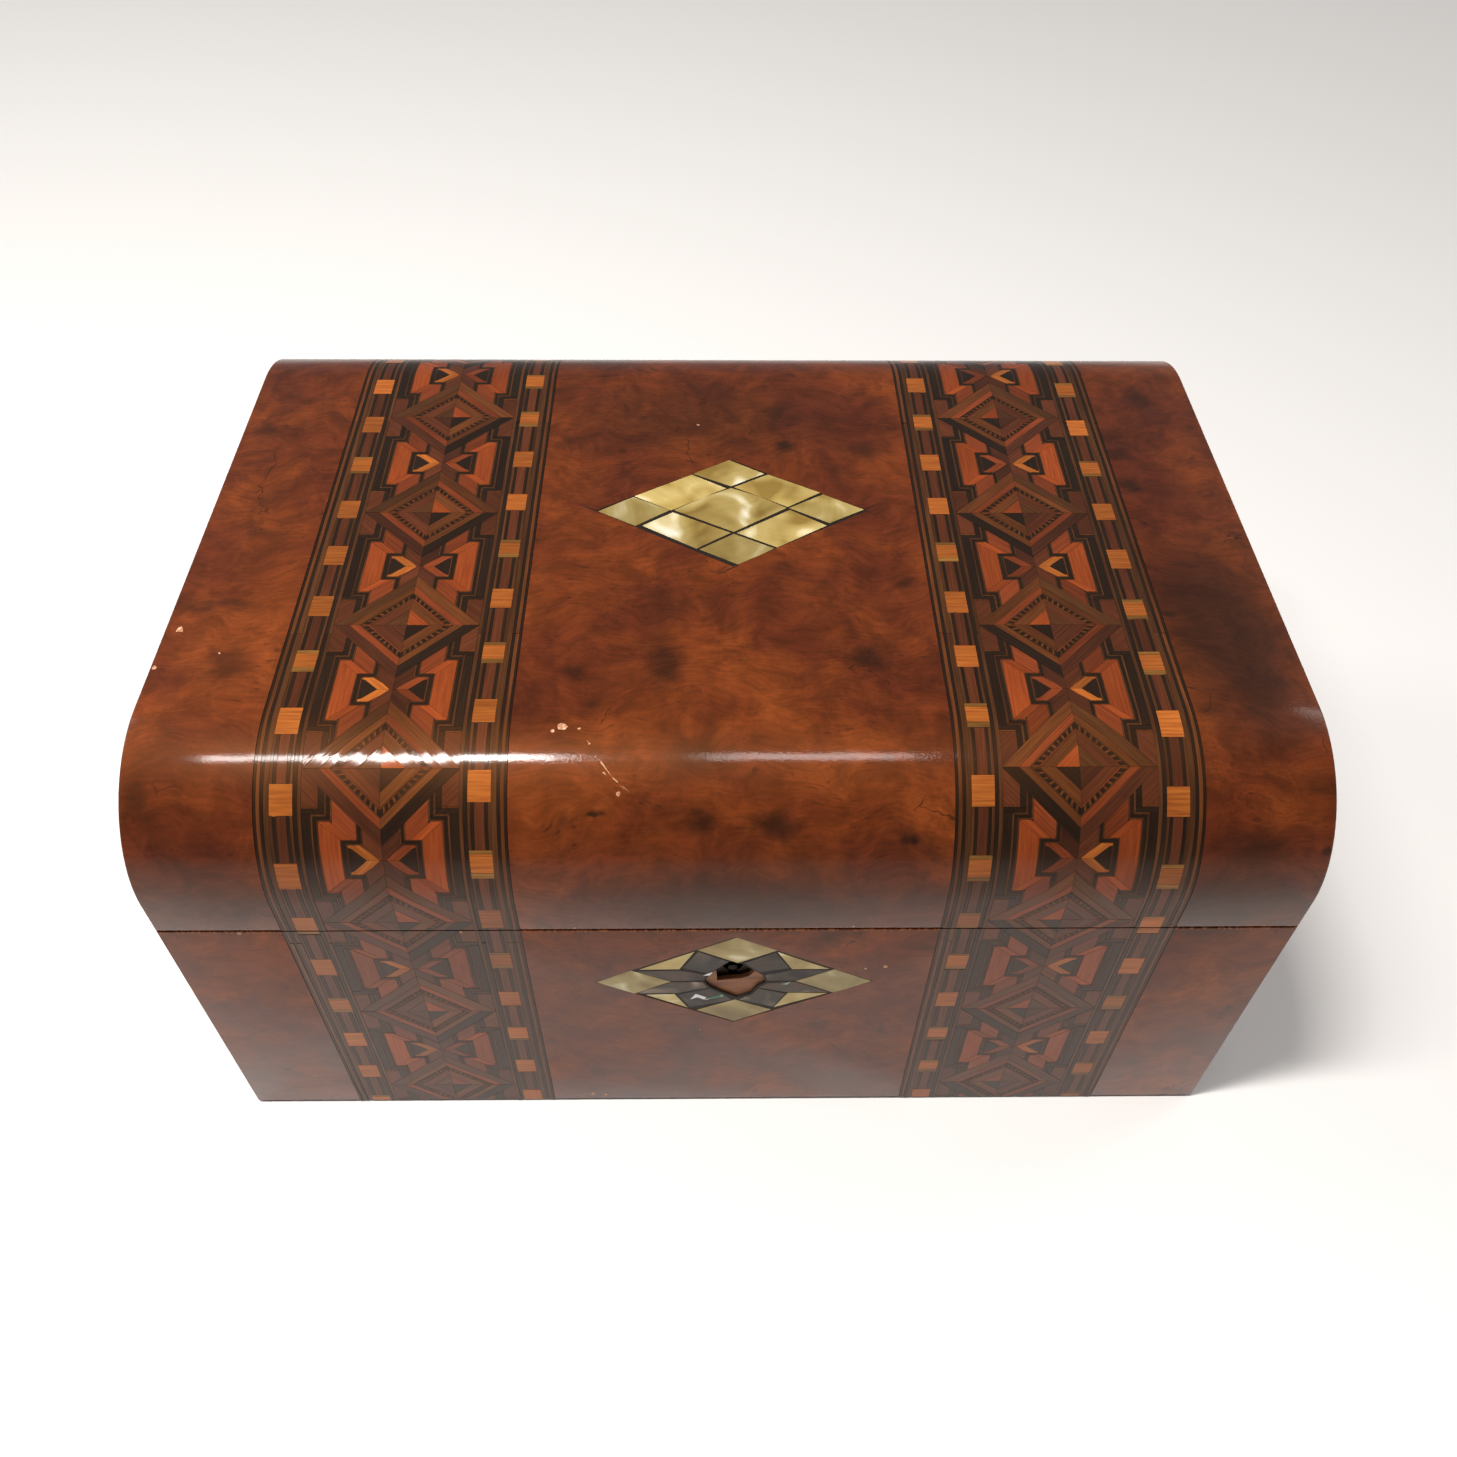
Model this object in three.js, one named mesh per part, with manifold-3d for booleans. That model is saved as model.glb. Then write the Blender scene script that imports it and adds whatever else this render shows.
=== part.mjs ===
// A keyed box with a round-shouldered lid, veneered in burr walnut over plain boards.
// Two parquetry bands run up the front and over the lid, a pearl lozenge is let into the
// lid, and a second one, in pearl and abalone, frames the keyhole.
// Millimetres. X runs along the front, Y to the back, Z up. The origin is the centre of
// the underside. Every sub-part is one closed solid.

import * as THREE from "three";
import { mergeVertices } from "three/addons/utils/BufferGeometryUtils.js";
import Module from "manifold-3d";

// ---------------------------------------------------------------- driving dimensions

const WIDTH = 280;
const DEPTH = 202;
const HEIGHT = 139;
const PARTING = 94.5; // the line where the lid meets the base
const PARTING_GAP = 0.4;
const SHOULDER = 33.2; // radius of the lid's front and back shoulders
const ARC_STEPS = 8;

const BAIZE = 0.8;
const BAIZE_INSET = 1;
const VENEER = 0.8;
const GLUE = 0.1; // the glue line left between faces that touch
const LET_IN = 0.1; // clearance round a fitting that is let into the wood
const PAD_CLEARANCE = 0.2;
const THROUGH = 1; // how far a cutter runs past the face it cuts
const BASE_BOARD = 8;
const LID_BOARD = 7.6;
const BOTTOM_BOARD = 6;

const BAND_CENTRE = 80.5;
const BAND_HALF = 29;

const LOZENGE = { x: 1, y: 4.5, halfWide: 37.2, halfDeep: 22.8 };
const ESCUTCHEON = { x: 1.2, z: 69.4, halfWide: 36.2, halfHigh: 21.6 };

const KEY = { x: 0.8, z: 74 };

const LINING = 2.5;
const LINING_LIP = 5; // the lining stands this far above the rim and finds the lid
const FLOOR_PAD = 3;
const LID_PAD = 8;

const TRAY = { bottom: 74, top: 90, clearance: 0.8, wall: 3, floor: 2, divider: 2.5 };

const HINGE = { x: 84, length: 38, leaf: 1.2, knuckle: 2, pin: 1, bore: 1.1, leafDepth: 6.6 };

// ---------------------------------------------------------------- derived planes

const halfWidth = WIDTH / 2;
const halfDepth = DEPTH / 2;
const skin = VENEER + GLUE;
const caseBottom = BAIZE + GLUE;
const rim = PARTING - PARTING_GAP / 2;
const lidEdge = PARTING + PARTING_GAP / 2;
const springLine = HEIGHT - SHOULDER; // where the shoulder's curve starts

const coreX = halfWidth - skin;
const coreY = halfDepth - skin;
const baseInnerX = coreX - BASE_BOARD;
const baseInnerY = coreY - BASE_BOARD;
const lidInnerX = coreX - LID_BOARD;
const lidInnerY = coreY - LID_BOARD;
const floorTop = caseBottom + BOTTOM_BOARD;
const lidTopBoard = HEIGHT - skin;
const lidCeiling = lidTopBoard - LID_BOARD;

const liningOuterX = baseInnerX - GLUE;
const liningOuterY = baseInnerY - GLUE;
const liningInnerX = liningOuterX - LINING;
const liningInnerY = liningOuterY - LINING;
const liningTop = rim + LINING_LIP + PARTING_GAP / 2;

const hingeY = halfDepth + 1.3; // the hinge's axis stands this far behind the case

// ---------------------------------------------------------------- finishes

function finish(color, roughness, metalness = 0) {
  return new THREE.MeshStandardMaterial({ color, roughness, metalness });
}

const burr = finish(0x97492a, 0.25);
const parquetry = finish(0x6d4426, 0.3);
const carcassWood = finish(0xa9744a, 0.7);
const trayWood = finish(0x7a4526, 0.45);
const pearl = finish(0xdcc795, 0.2);
const shell = finish(0x8f8478, 0.25);
const brass = finish(0xb08b45, 0.35, 1);
const steel = finish(0x8c8a86, 0.35, 1);
const baize = finish(0x2f4d36, 0.95);
const velvet = finish(0x6a1526, 0.95);
const silk = finish(0x84253a, 0.55);

// ---------------------------------------------------------------- shape helpers

// A box between three pairs of planes, in place.
function block([x0, x1], [y0, y1], [z0, z1]) {
  const geometry = new THREE.BoxGeometry(x1 - x0, y1 - y0, z1 - z0);
  return geometry.translate((x0 + x1) / 2, (y0 + y1) / 2, (z0 + z1) / 2);
}

// A shape drawn in (Y, Z) and extruded from x0 to x1.
function alongX(shape, x0, x1) {
  const geometry = new THREE.ExtrudeGeometry(shape, { depth: x1 - x0, bevelEnabled: false });
  const turn = new THREE.Matrix4().makeBasis(
    new THREE.Vector3(0, 1, 0),
    new THREE.Vector3(0, 0, 1),
    new THREE.Vector3(1, 0, 0),
  );
  return geometry.applyMatrix4(turn).translate(x0, 0, 0);
}

// A shape drawn in (X, Z) and extruded from y0 back to y1.
function alongY(shape, y0, y1) {
  const geometry = new THREE.ExtrudeGeometry(shape, { depth: y1 - y0, bevelEnabled: false });
  return geometry.rotateX(Math.PI / 2).translate(0, y1, 0);
}

// A shape drawn in (X, Y) and extruded from z0 up to z1.
function alongZ(shape, z0, z1) {
  const geometry = new THREE.ExtrudeGeometry(shape, { depth: z1 - z0, bevelEnabled: false });
  return geometry.translate(0, 0, z0);
}

// A rod along X about (y, z).
function rodX(radius, x0, x1, y, z, sides = 24) {
  const geometry = new THREE.CylinderGeometry(radius, radius, x1 - x0, sides);
  return geometry.rotateZ(Math.PI / 2).translate((x0 + x1) / 2, y, z);
}

function polygon(points) {
  return new THREE.Shape(points.map(([a, b]) => new THREE.Vector2(a, b)));
}

// A lozenge grown by a margin square to its sides.
function lozenge(x, v, halfWide, halfHigh, margin = 0) {
  const inradius = (halfWide * halfHigh) / Math.hypot(halfWide, halfHigh);
  const grow = 1 + margin / inradius;
  return polygon([
    [x - halfWide * grow, v],
    [x, v - halfHigh * grow],
    [x + halfWide * grow, v],
    [x, v + halfHigh * grow],
  ]);
}

function toSolid(geometry) {
  const bare = geometry.clone();
  bare.deleteAttribute("normal");
  bare.deleteAttribute("uv");
  const merged = mergeVertices(bare, 1e-4);
  return new wasm.Manifold(new wasm.Mesh({
    numProp: 3,
    vertProperties: new Float32Array(merged.attributes.position.array),
    triVerts: new Uint32Array(merged.index.array),
  }));
}

function toGeometry(solid) {
  const mesh = solid.getMesh();
  const geometry = new THREE.BufferGeometry();
  geometry.setAttribute("position", new THREE.BufferAttribute(mesh.vertProperties, 3));
  geometry.setIndex(new THREE.BufferAttribute(mesh.triVerts, 1));
  geometry.computeVertexNormals();
  return geometry;
}

function join(geometries) {
  const [first, ...rest] = geometries.map(toSolid);
  return toGeometry(rest.reduce((sum, solid) => sum.add(solid), first));
}

function cut(geometry, cutters) {
  const start = toSolid(geometry);
  return toGeometry(cutters.map(toSolid).reduce((left, tool) => left.subtract(tool), start));
}

const wasm = await Module();
wasm.setup();

const box = new THREE.Group();
const base = new THREE.Group();
const lid = new THREE.Group();
const tray = new THREE.Group();
const lock = new THREE.Group();
box.add(base, lid, tray, lock);

function add(group, name, geometry, material) {
  const mesh = new THREE.Mesh(geometry, material);
  mesh.name = name;
  group.add(mesh);
  return mesh;
}

const SIDES = [["left", -1], ["right", 1]];

// A span that starts at the middle of the box and is mirrored for the left or front side.
function span(side, near, far) {
  return side < 0 ? [-far, -near] : [near, far];
}

// ---------------------------------------------------------------- hinge cut-outs

const KNUCKLE_CLEARANCE = 0.3;
const leafBack = hingeY - HINGE.knuckle - KNUCKLE_CLEARANCE;
const leafY = [leafBack - HINGE.leafDepth, leafBack];

// The pocket in a rim board's edge that one leaf is let into.
function leafPocket(side, z0, z1) {
  const reach = HINGE.length / 2 + LET_IN;
  return block(
    [side * HINGE.x - reach, side * HINGE.x + reach],
    [leafY[0] - LET_IN, halfDepth + THROUGH],
    [z0, z1],
  );
}

// The notch in the back veneer that the knuckles lie in.
function knuckleNotch(side) {
  const reach = HINGE.length / 2 + KNUCKLE_CLEARANCE;
  const clear = HINGE.knuckle + KNUCKLE_CLEARANCE;
  return block(
    [side * HINGE.x - reach, side * HINGE.x + reach],
    [coreY, halfDepth + THROUGH],
    [PARTING - clear, PARTING + clear],
  );
}

// ---------------------------------------------------------------- lock sizes

const LOCK = { halfWide: 22, drop: 30, wall: 1, selvedgeHalf: 30, selvedgeFront: -99.3, cap: 0.8 };
const lockBack = -baseInnerY - GLUE;
const lockFront = -coreY + 1.4;
const lockTop = rim - GLUE;
const HOOK_OFFSETS = [-10, 10];
const HOOK = {
  thick: 2,
  front: lockFront + 1.3,
  back: lockBack - 1.4,
  tip: 85.4,
  eyeLow: 86.3,
  eyeHigh: 89.7,
};
const LOCK_SCREW_X = 26;
const LINK = { halfWide: 24, front: -99, back: -93, thick: 1.2, screwX: 18 };
const SCREW = { head: 1.7, shank: 1, headDepth: 0.8, point: 1.5, length: 8, y: -96, sunk: 0.05 };

// The gap that shell chips have left round the keyhole, and the hole itself, in (X, Z).
const KEYHOLE = [
  [0, 79.5], [3.4, 78], [5.6, 75.4], [6.4, 73], [5, 70.6],
  [3, 69.4], [0, 69.1], [-3.2, 68.5], [-3.6, 75],
];
const CHIPPED = [
  [0, 79.5], [3.4, 78], [5.6, 75.4], [8.6, 72.4], [9.4, 69], [7, 66.4], [5.6, 63], [2, 61],
  [-1.6, 63.5], [-5, 66.4], [-6.6, 69.4], [-5.4, 72.4], [-3.6, 75],
];

// A countersunk screw that points down (turn = 1) or up (turn = -1) from its head.
function screw(x, y, headZ, turn, margin = 0) {
  const points = [
    new THREE.Vector2(0, margin),
    new THREE.Vector2(SCREW.head + margin, margin),
    new THREE.Vector2(SCREW.head + margin, 0),
    new THREE.Vector2(SCREW.shank + margin, -SCREW.headDepth),
    new THREE.Vector2(SCREW.shank + margin, SCREW.point - SCREW.length),
    new THREE.Vector2(0, -SCREW.length - margin),
  ];
  const outline = margin > 0 ? points : points.filter((_, index) => index !== 1);
  outline.reverse();
  const geometry = new THREE.LatheGeometry(outline, 16).rotateX(Math.PI / 2);
  return (turn < 0 ? geometry.rotateX(Math.PI) : geometry).translate(x, y, headZ);
}

// ---------------------------------------------------------------- base carcass

const wallZ = [caseBottom, rim];
const betweenEnds = [-baseInnerX + GLUE, baseInnerX - GLUE];

const lockMortise = [
  block(
    [KEY.x - LOCK.halfWide - LET_IN, KEY.x + LOCK.halfWide + LET_IN],
    [lockFront - LET_IN, -baseInnerY + THROUGH],
    [rim - LOCK.drop - LET_IN, rim + THROUGH],
  ),
  block(
    [KEY.x - LOCK.selvedgeHalf - LET_IN, KEY.x + LOCK.selvedgeHalf + LET_IN],
    [LOCK.selvedgeFront - LET_IN, -baseInnerY + THROUGH],
    [lockTop - LOCK.wall - LET_IN, rim + THROUGH],
  ),
  alongY(polygon(KEYHOLE), -coreY - THROUGH, lockFront + THROUGH),
  ...SIDES.map(([, side]) => screw(KEY.x + side * LOCK_SCREW_X, SCREW.y, lockTop, 1, LET_IN)),
];

add(base, "base_front_board", cut(
  block(betweenEnds, [-coreY, -baseInnerY], wallZ),
  lockMortise,
), carcassWood);

add(base, "base_back_board", cut(
  block(betweenEnds, [baseInnerY, coreY], wallZ),
  SIDES.map(([, side]) => leafPocket(side, rim - HINGE.leaf - LET_IN, rim + THROUGH)),
), carcassWood);

for (const [label, side] of SIDES) {
  const boardX = span(side, baseInnerX, coreX);
  add(base, `base_${label}_end`, block(boardX, [-coreY, coreY], wallZ), carcassWood);
}

add(base, "base_bottom_board", block(
  betweenEnds,
  [-baseInnerY + GLUE, baseInnerY - GLUE],
  [caseBottom, floorTop],
), carcassWood);

add(base, "underside_baize", block(
  [-halfWidth + BAIZE_INSET, halfWidth - BAIZE_INSET],
  [-halfDepth + BAIZE_INSET, halfDepth - BAIZE_INSET],
  [0, BAIZE],
), baize);

// ---------------------------------------------------------------- base veneers

const frontSkin = [-halfDepth, -halfDepth + VENEER];
const joint = 0.05; // half the hairline between two pieces of veneer

for (const [label, side] of SIDES) {
  const outerX = span(side, BAND_CENTRE + BAND_HALF + joint, halfWidth);
  const bandX = span(side, BAND_CENTRE - BAND_HALF + joint, BAND_CENTRE + BAND_HALF - joint);
  const endX = span(side, halfWidth - VENEER, halfWidth);
  add(base, `front_burr_${label}`, block(outerX, frontSkin, wallZ), burr);
  add(base, `front_band_${label}`, block(bandX, frontSkin, wallZ), parquetry);
  add(base, `base_${label}_veneer`, block(endX, [-coreY, coreY], wallZ), burr);
}

const escutcheonOutline = [ESCUTCHEON.x, ESCUTCHEON.z, ESCUTCHEON.halfWide, ESCUTCHEON.halfHigh];
const centreX = BAND_CENTRE - BAND_HALF - joint;

add(base, "front_burr_centre", cut(
  block([-centreX, centreX], frontSkin, wallZ),
  [alongY(lozenge(...escutcheonOutline, joint), -halfDepth - THROUGH, -coreY + THROUGH)],
), burr);

add(base, "keyhole_escutcheon", cut(
  alongY(lozenge(...escutcheonOutline, -joint), ...frontSkin),
  [alongY(polygon(CHIPPED), -halfDepth - THROUGH, -coreY + THROUGH)],
), shell);

add(base, "base_back_veneer", cut(
  block([-halfWidth, halfWidth], [halfDepth - VENEER, halfDepth], wallZ),
  SIDES.map(([, side]) => knuckleNotch(side)),
), burr);

// ---------------------------------------------------------------- lining and ledges

const liningZ = [floorTop + GLUE, liningTop];
for (const [label, side] of [["front", -1], ["back", 1]]) {
  const liningY = span(side, liningInnerY, liningOuterY);
  add(base, `lining_${label}`, block([-liningOuterX, liningOuterX], liningY, liningZ), velvet);
}

const LEDGE = { thick: 3, high: 8, halfLong: 80 };
for (const [label, side] of SIDES) {
  const liningX = span(side, liningInnerX, liningOuterX);
  const ledgeX = span(side, liningInnerX - GLUE - LEDGE.thick, liningInnerX - GLUE);
  const ledgeTop = TRAY.bottom - GLUE;
  const liningY = [-liningInnerY + GLUE, liningInnerY - GLUE];
  add(base, `lining_${label}`, block(liningX, liningY, liningZ), velvet);
  add(base, `tray_ledge_${label}`, block(
    ledgeX,
    [-LEDGE.halfLong, LEDGE.halfLong],
    [ledgeTop - LEDGE.high, ledgeTop],
  ), trayWood);
}

add(base, "floor_pad", block(
  [-liningInnerX + PAD_CLEARANCE, liningInnerX - PAD_CLEARANCE],
  [-liningInnerY + PAD_CLEARANCE, liningInnerY - PAD_CLEARANCE],
  [floorTop + GLUE, floorTop + GLUE + FLOOR_PAD],
), velvet);

// ---------------------------------------------------------------- lock

function hookSpan(offset, margin) {
  const middle = KEY.x + offset;
  return [middle - HOOK.thick / 2 - margin, middle + HOOK.thick / 2 + margin];
}

// A box with its front open, its top carried out into the selvedge that shows on the rim.
const lockX = [KEY.x - LOCK.halfWide, KEY.x + LOCK.halfWide];
const lockZ = [rim - LOCK.drop, lockTop];
const lockShell = join([
  cut(
    block(lockX, [lockFront, lockBack], lockZ),
    [block(
      [lockX[0] + LOCK.wall, lockX[1] - LOCK.wall],
      [lockFront - THROUGH, lockBack - LOCK.wall],
      [lockZ[0] + LOCK.wall, lockZ[1] - LOCK.wall],
    )],
  ),
  block(
    [KEY.x - LOCK.selvedgeHalf, KEY.x + LOCK.selvedgeHalf],
    [LOCK.selvedgeFront, lockBack],
    [lockTop - LOCK.wall, lockTop],
  ),
]);
add(base, "lock_case", cut(lockShell, [
  ...HOOK_OFFSETS.map((offset) => block(
    hookSpan(offset, 0.6),
    [HOOK.front - 0.5, HOOK.back + 0.4],
    [lockTop - LOCK.wall - THROUGH / 2, lockTop + THROUGH],
  )),
  ...SIDES.map(([, side]) => screw(KEY.x + side * LOCK_SCREW_X, SCREW.y, lockTop, 1, LET_IN)),
]), brass);

// The cap closes the lock's front; the key goes through its slot and over the drill pin.
const KEY_SLOT = { round: 2.6, blade: 1.1, drop: 8 };
const keySlot = new THREE.Shape();
const bladeTurn = Math.asin(KEY_SLOT.blade / KEY_SLOT.round);
keySlot.moveTo(KEY.x - KEY_SLOT.blade, KEY.z - KEY_SLOT.drop);
keySlot.lineTo(KEY.x + KEY_SLOT.blade, KEY.z - KEY_SLOT.drop);
keySlot.absarc(KEY.x, KEY.z, KEY_SLOT.round, bladeTurn - Math.PI / 2, 1.5 * Math.PI - bladeTurn, false);
keySlot.closePath();
add(base, "lock_cap", cut(
  block(
    [lockX[0] + LOCK.wall + LET_IN, lockX[1] - LOCK.wall - LET_IN],
    [lockFront, lockFront + LOCK.cap],
    [lockZ[0] + LOCK.wall + LET_IN, lockZ[1] - LOCK.wall - LET_IN],
  ),
  [alongY(keySlot, lockFront - THROUGH, lockFront + LOCK.cap + THROUGH)],
), brass);

const DRILL_PIN = { radius: 1.2, front: lockFront - 0.8 };
const pinBack = lockBack - LOCK.wall - GLUE;
add(base, "lock_drill_pin", new THREE.CylinderGeometry(
  DRILL_PIN.radius,
  DRILL_PIN.radius,
  pinBack - DRILL_PIN.front,
  16,
), steel).position.set(KEY.x, (pinBack + DRILL_PIN.front) / 2, KEY.z);

for (const [label, side] of SIDES) {
  const screwX = KEY.x + side * LOCK_SCREW_X;
  add(base, `lock_screw_${label}`, screw(screwX, SCREW.y, lockTop - SCREW.sunk, 1), brass);
}

// The bolt: a bar with two arms, each ending in a prong that shoots into a hook's eye.
const BOLT = {
  low: 79,
  bar: 83,
  prongLow: 86.9,
  prongHigh: 89.1,
  front: -96.1,
  back: -94.9,
  arm: 3.4,
  prong: 4.2,
  shy: 1.2, // how far the drawn-back prong stops short of its hook
};
const prongTip = -HOOK.thick / 2 - BOLT.shy;
const armRight = prongTip - BOLT.prong;
const boltOutline = [];
for (const offset of HOOK_OFFSETS) {
  const hook = KEY.x + offset;
  boltOutline.push(
    [hook + armRight - BOLT.arm, BOLT.bar],
    [hook + armRight - BOLT.arm, BOLT.prongHigh],
    [hook + prongTip, BOLT.prongHigh],
    [hook + prongTip, BOLT.prongLow],
    [hook + armRight, BOLT.prongLow],
    [hook + armRight, BOLT.bar],
  );
}
const boltLeft = KEY.x + HOOK_OFFSETS[0] + armRight - BOLT.arm;
const boltRight = KEY.x + HOOK_OFFSETS[1] + prongTip;
boltOutline.push([boltRight, BOLT.bar], [boltRight, BOLT.low], [boltLeft, BOLT.low]);
boltOutline.shift();
add(lock, "lock_bolt", alongY(polygon(boltOutline), BOLT.front, BOLT.back), brass);

// ---------------------------------------------------------------- lid carcass

// The lid's outline at a depth below its surface, from the front edge over to the back.
function lidLine(depth) {
  const side = halfDepth - depth;
  const centre = halfDepth - SHOULDER;
  const radius = SHOULDER - depth;
  const path = new THREE.Path();
  path.moveTo(-side, lidEdge);
  path.lineTo(-side, springLine);
  path.absarc(-centre, springLine, radius, Math.PI, Math.PI / 2, true);
  path.lineTo(centre, springLine + radius);
  path.absarc(centre, springLine, radius, Math.PI / 2, 0, true);
  path.lineTo(side, lidEdge);
  return path.getPoints(ARC_STEPS);
}

// The strip between two depths, for the part of the outline that the test keeps.
function lidStrip(outerDepth, innerDepth, keep = () => true) {
  const outer = lidLine(outerDepth).filter(keep);
  const inner = lidLine(innerDepth).filter(keep);
  return new THREE.Shape([...outer, ...inner.reverse()]);
}

const shoulderStart = halfDepth - SHOULDER;
const insideLid = skin + LID_BOARD;
const railX = [-lidInnerX + GLUE, lidInnerX - GLUE];

const linkRecess = block(
  [KEY.x - LINK.halfWide - LET_IN, KEY.x + LINK.halfWide + LET_IN],
  [LINK.front - LET_IN, LINK.back + LET_IN],
  [lidEdge - THROUGH, lidEdge + GLUE + LINK.thick + LET_IN],
);
const SAME_POINT = 1e-6;
add(lid, "lid_front_rail", cut(
  alongX(lidStrip(skin, insideLid, (point) => point.x <= -shoulderStart + SAME_POINT), ...railX),
  [
    linkRecess,
    ...SIDES.map(([, side]) => screw(KEY.x + side * LINK.screwX, SCREW.y, lidEdge + GLUE, -1, LET_IN)),
  ],
), carcassWood);

add(lid, "lid_back_rail", cut(
  alongX(lidStrip(skin, insideLid, (point) => point.x >= shoulderStart - SAME_POINT), ...railX),
  SIDES.map(([, side]) => leafPocket(side, lidEdge - THROUGH, lidEdge + HINGE.leaf + LET_IN)),
), carcassWood);

add(lid, "lid_top_board", block(
  railX,
  [-shoulderStart + GLUE, shoulderStart - GLUE],
  [lidCeiling, lidTopBoard],
), carcassWood);

for (const [label, side] of SIDES) {
  const endShape = new THREE.Shape(lidLine(skin));
  add(lid, `lid_${label}_end`, alongX(endShape, ...span(side, lidInnerX, coreX)), carcassWood);
  add(lid, `lid_${label}_veneer`, alongX(endShape, ...span(side, halfWidth - VENEER, halfWidth)), burr);
}

// ---------------------------------------------------------------- lid veneers

const wrap = lidStrip(0, VENEER);
for (const [label, side] of SIDES) {
  const outerX = span(side, BAND_CENTRE + BAND_HALF + joint, halfWidth);
  const bandX = span(side, BAND_CENTRE - BAND_HALF + joint, BAND_CENTRE + BAND_HALF - joint);
  add(lid, `lid_burr_${label}`, alongX(wrap, ...outerX), burr);
  add(lid, `lid_band_${label}`, cut(alongX(wrap, ...bandX), [knuckleNotch(side)]), parquetry);
}

const lozengeOutline = [LOZENGE.x, LOZENGE.y, LOZENGE.halfWide, LOZENGE.halfDeep];
add(lid, "lid_burr_centre", cut(
  alongX(wrap, -centreX, centreX),
  [alongZ(lozenge(...lozengeOutline, joint), lidTopBoard - THROUGH, HEIGHT + THROUGH)],
), burr);

add(lid, "lid_pearl_lozenge", alongZ(
  lozenge(...lozengeOutline, -joint),
  HEIGHT - VENEER,
  HEIGHT,
), pearl);

const LID_PAD_MARGIN = { x: 1.5, y: 1 };
add(lid, "lid_lining_pad", block(
  [-lidInnerX + LID_PAD_MARGIN.x, lidInnerX - LID_PAD_MARGIN.x],
  [-shoulderStart + LID_PAD_MARGIN.y, shoulderStart - LID_PAD_MARGIN.y],
  [lidCeiling - GLUE - LID_PAD, lidCeiling - GLUE],
), silk);

// ---------------------------------------------------------------- link plate

const linkZ = [lidEdge + GLUE, lidEdge + GLUE + LINK.thick];
const hookZ = [HOOK.tip, linkZ[1]];
const linkBody = join([
  block([KEY.x - LINK.halfWide, KEY.x + LINK.halfWide], [LINK.front, LINK.back], linkZ),
  ...HOOK_OFFSETS.map((offset) => block(hookSpan(offset, 0), [HOOK.front, HOOK.back], hookZ)),
]);
const EYE_CLEARANCE = 0.3;
const eyeY = [BOLT.front - EYE_CLEARANCE, BOLT.back + EYE_CLEARANCE];
const eyeZ = [HOOK.eyeLow, HOOK.eyeHigh];
add(lid, "link_plate", cut(linkBody, [
  ...HOOK_OFFSETS.map((offset) => block(hookSpan(offset, THROUGH), eyeY, eyeZ)),
  ...SIDES.map(([, side]) => screw(KEY.x + side * LINK.screwX, SCREW.y, linkZ[0], -1, LET_IN)),
]), brass);

for (const [label, side] of SIDES) {
  const screwX = KEY.x + side * LINK.screwX;
  add(lid, `link_screw_${label}`, screw(screwX, SCREW.y, linkZ[0] + SCREW.sunk, -1), brass);
}

// ---------------------------------------------------------------- hinges

const KNUCKLES = 5;
const KNUCKLE_GAP = 0.2;
const knuckleLength = HINGE.length / KNUCKLES;

// One leaf with every second knuckle, counted from first.
function hingeLeaf(side, first, z) {
  const start = side * HINGE.x - HINGE.length / 2;
  const pieces = [block([start, start + HINGE.length], leafY, z)];
  for (let index = first; index < KNUCKLES; index += 2) {
    const from = start + index * knuckleLength + KNUCKLE_GAP / 2;
    const to = start + (index + 1) * knuckleLength - KNUCKLE_GAP / 2;
    pieces.push(block([from, to], [leafBack - 0.5, hingeY], z));
    pieces.push(rodX(HINGE.knuckle, from, to, hingeY, PARTING));
  }
  const end = start + HINGE.length;
  return cut(join(pieces), [rodX(HINGE.bore, start - THROUGH, end + THROUGH, hingeY, PARTING)]);
}

for (const [label, side] of SIDES) {
  const start = side * HINGE.x - HINGE.length / 2;
  add(base, `hinge_${label}_base_leaf`, hingeLeaf(side, 0, [rim - HINGE.leaf, rim]), brass);
  add(lid, `hinge_${label}_lid_leaf`, hingeLeaf(side, 1, [lidEdge, lidEdge + HINGE.leaf]), brass);
  add(base, `hinge_${label}_pin`, rodX(HINGE.pin, start, start + HINGE.length, hingeY, PARTING), steel);
}

// ---------------------------------------------------------------- lift-out tray

const trayX = liningInnerX - TRAY.clearance;
const trayY = liningInnerY - TRAY.clearance;
const trayInnerX = trayX - TRAY.wall;
const trayInnerY = trayY - TRAY.wall;
const trayZ = [TRAY.bottom, TRAY.top];
const DIVIDER_TOP = 87;
const LONG_DIVIDER_Y = 22;
const CROSS_DIVIDER_X = 42;

add(tray, "tray_floor", block(
  [-trayInnerX + GLUE, trayInnerX - GLUE],
  [-trayInnerY + GLUE, trayInnerY - GLUE],
  [TRAY.bottom, TRAY.bottom + TRAY.floor],
), trayWood);
add(tray, "tray_front", block([-trayX, trayX], [-trayY, -trayInnerY], trayZ), trayWood);
add(tray, "tray_back", block([-trayX, trayX], [trayInnerY, trayY], trayZ), trayWood);

const dividerZ = [TRAY.bottom + TRAY.floor + GLUE, DIVIDER_TOP];
add(tray, "tray_divider_long", block(
  [-trayInnerX + GLUE, trayInnerX - GLUE],
  [LONG_DIVIDER_Y, LONG_DIVIDER_Y + TRAY.divider],
  dividerZ,
), trayWood);

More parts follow.
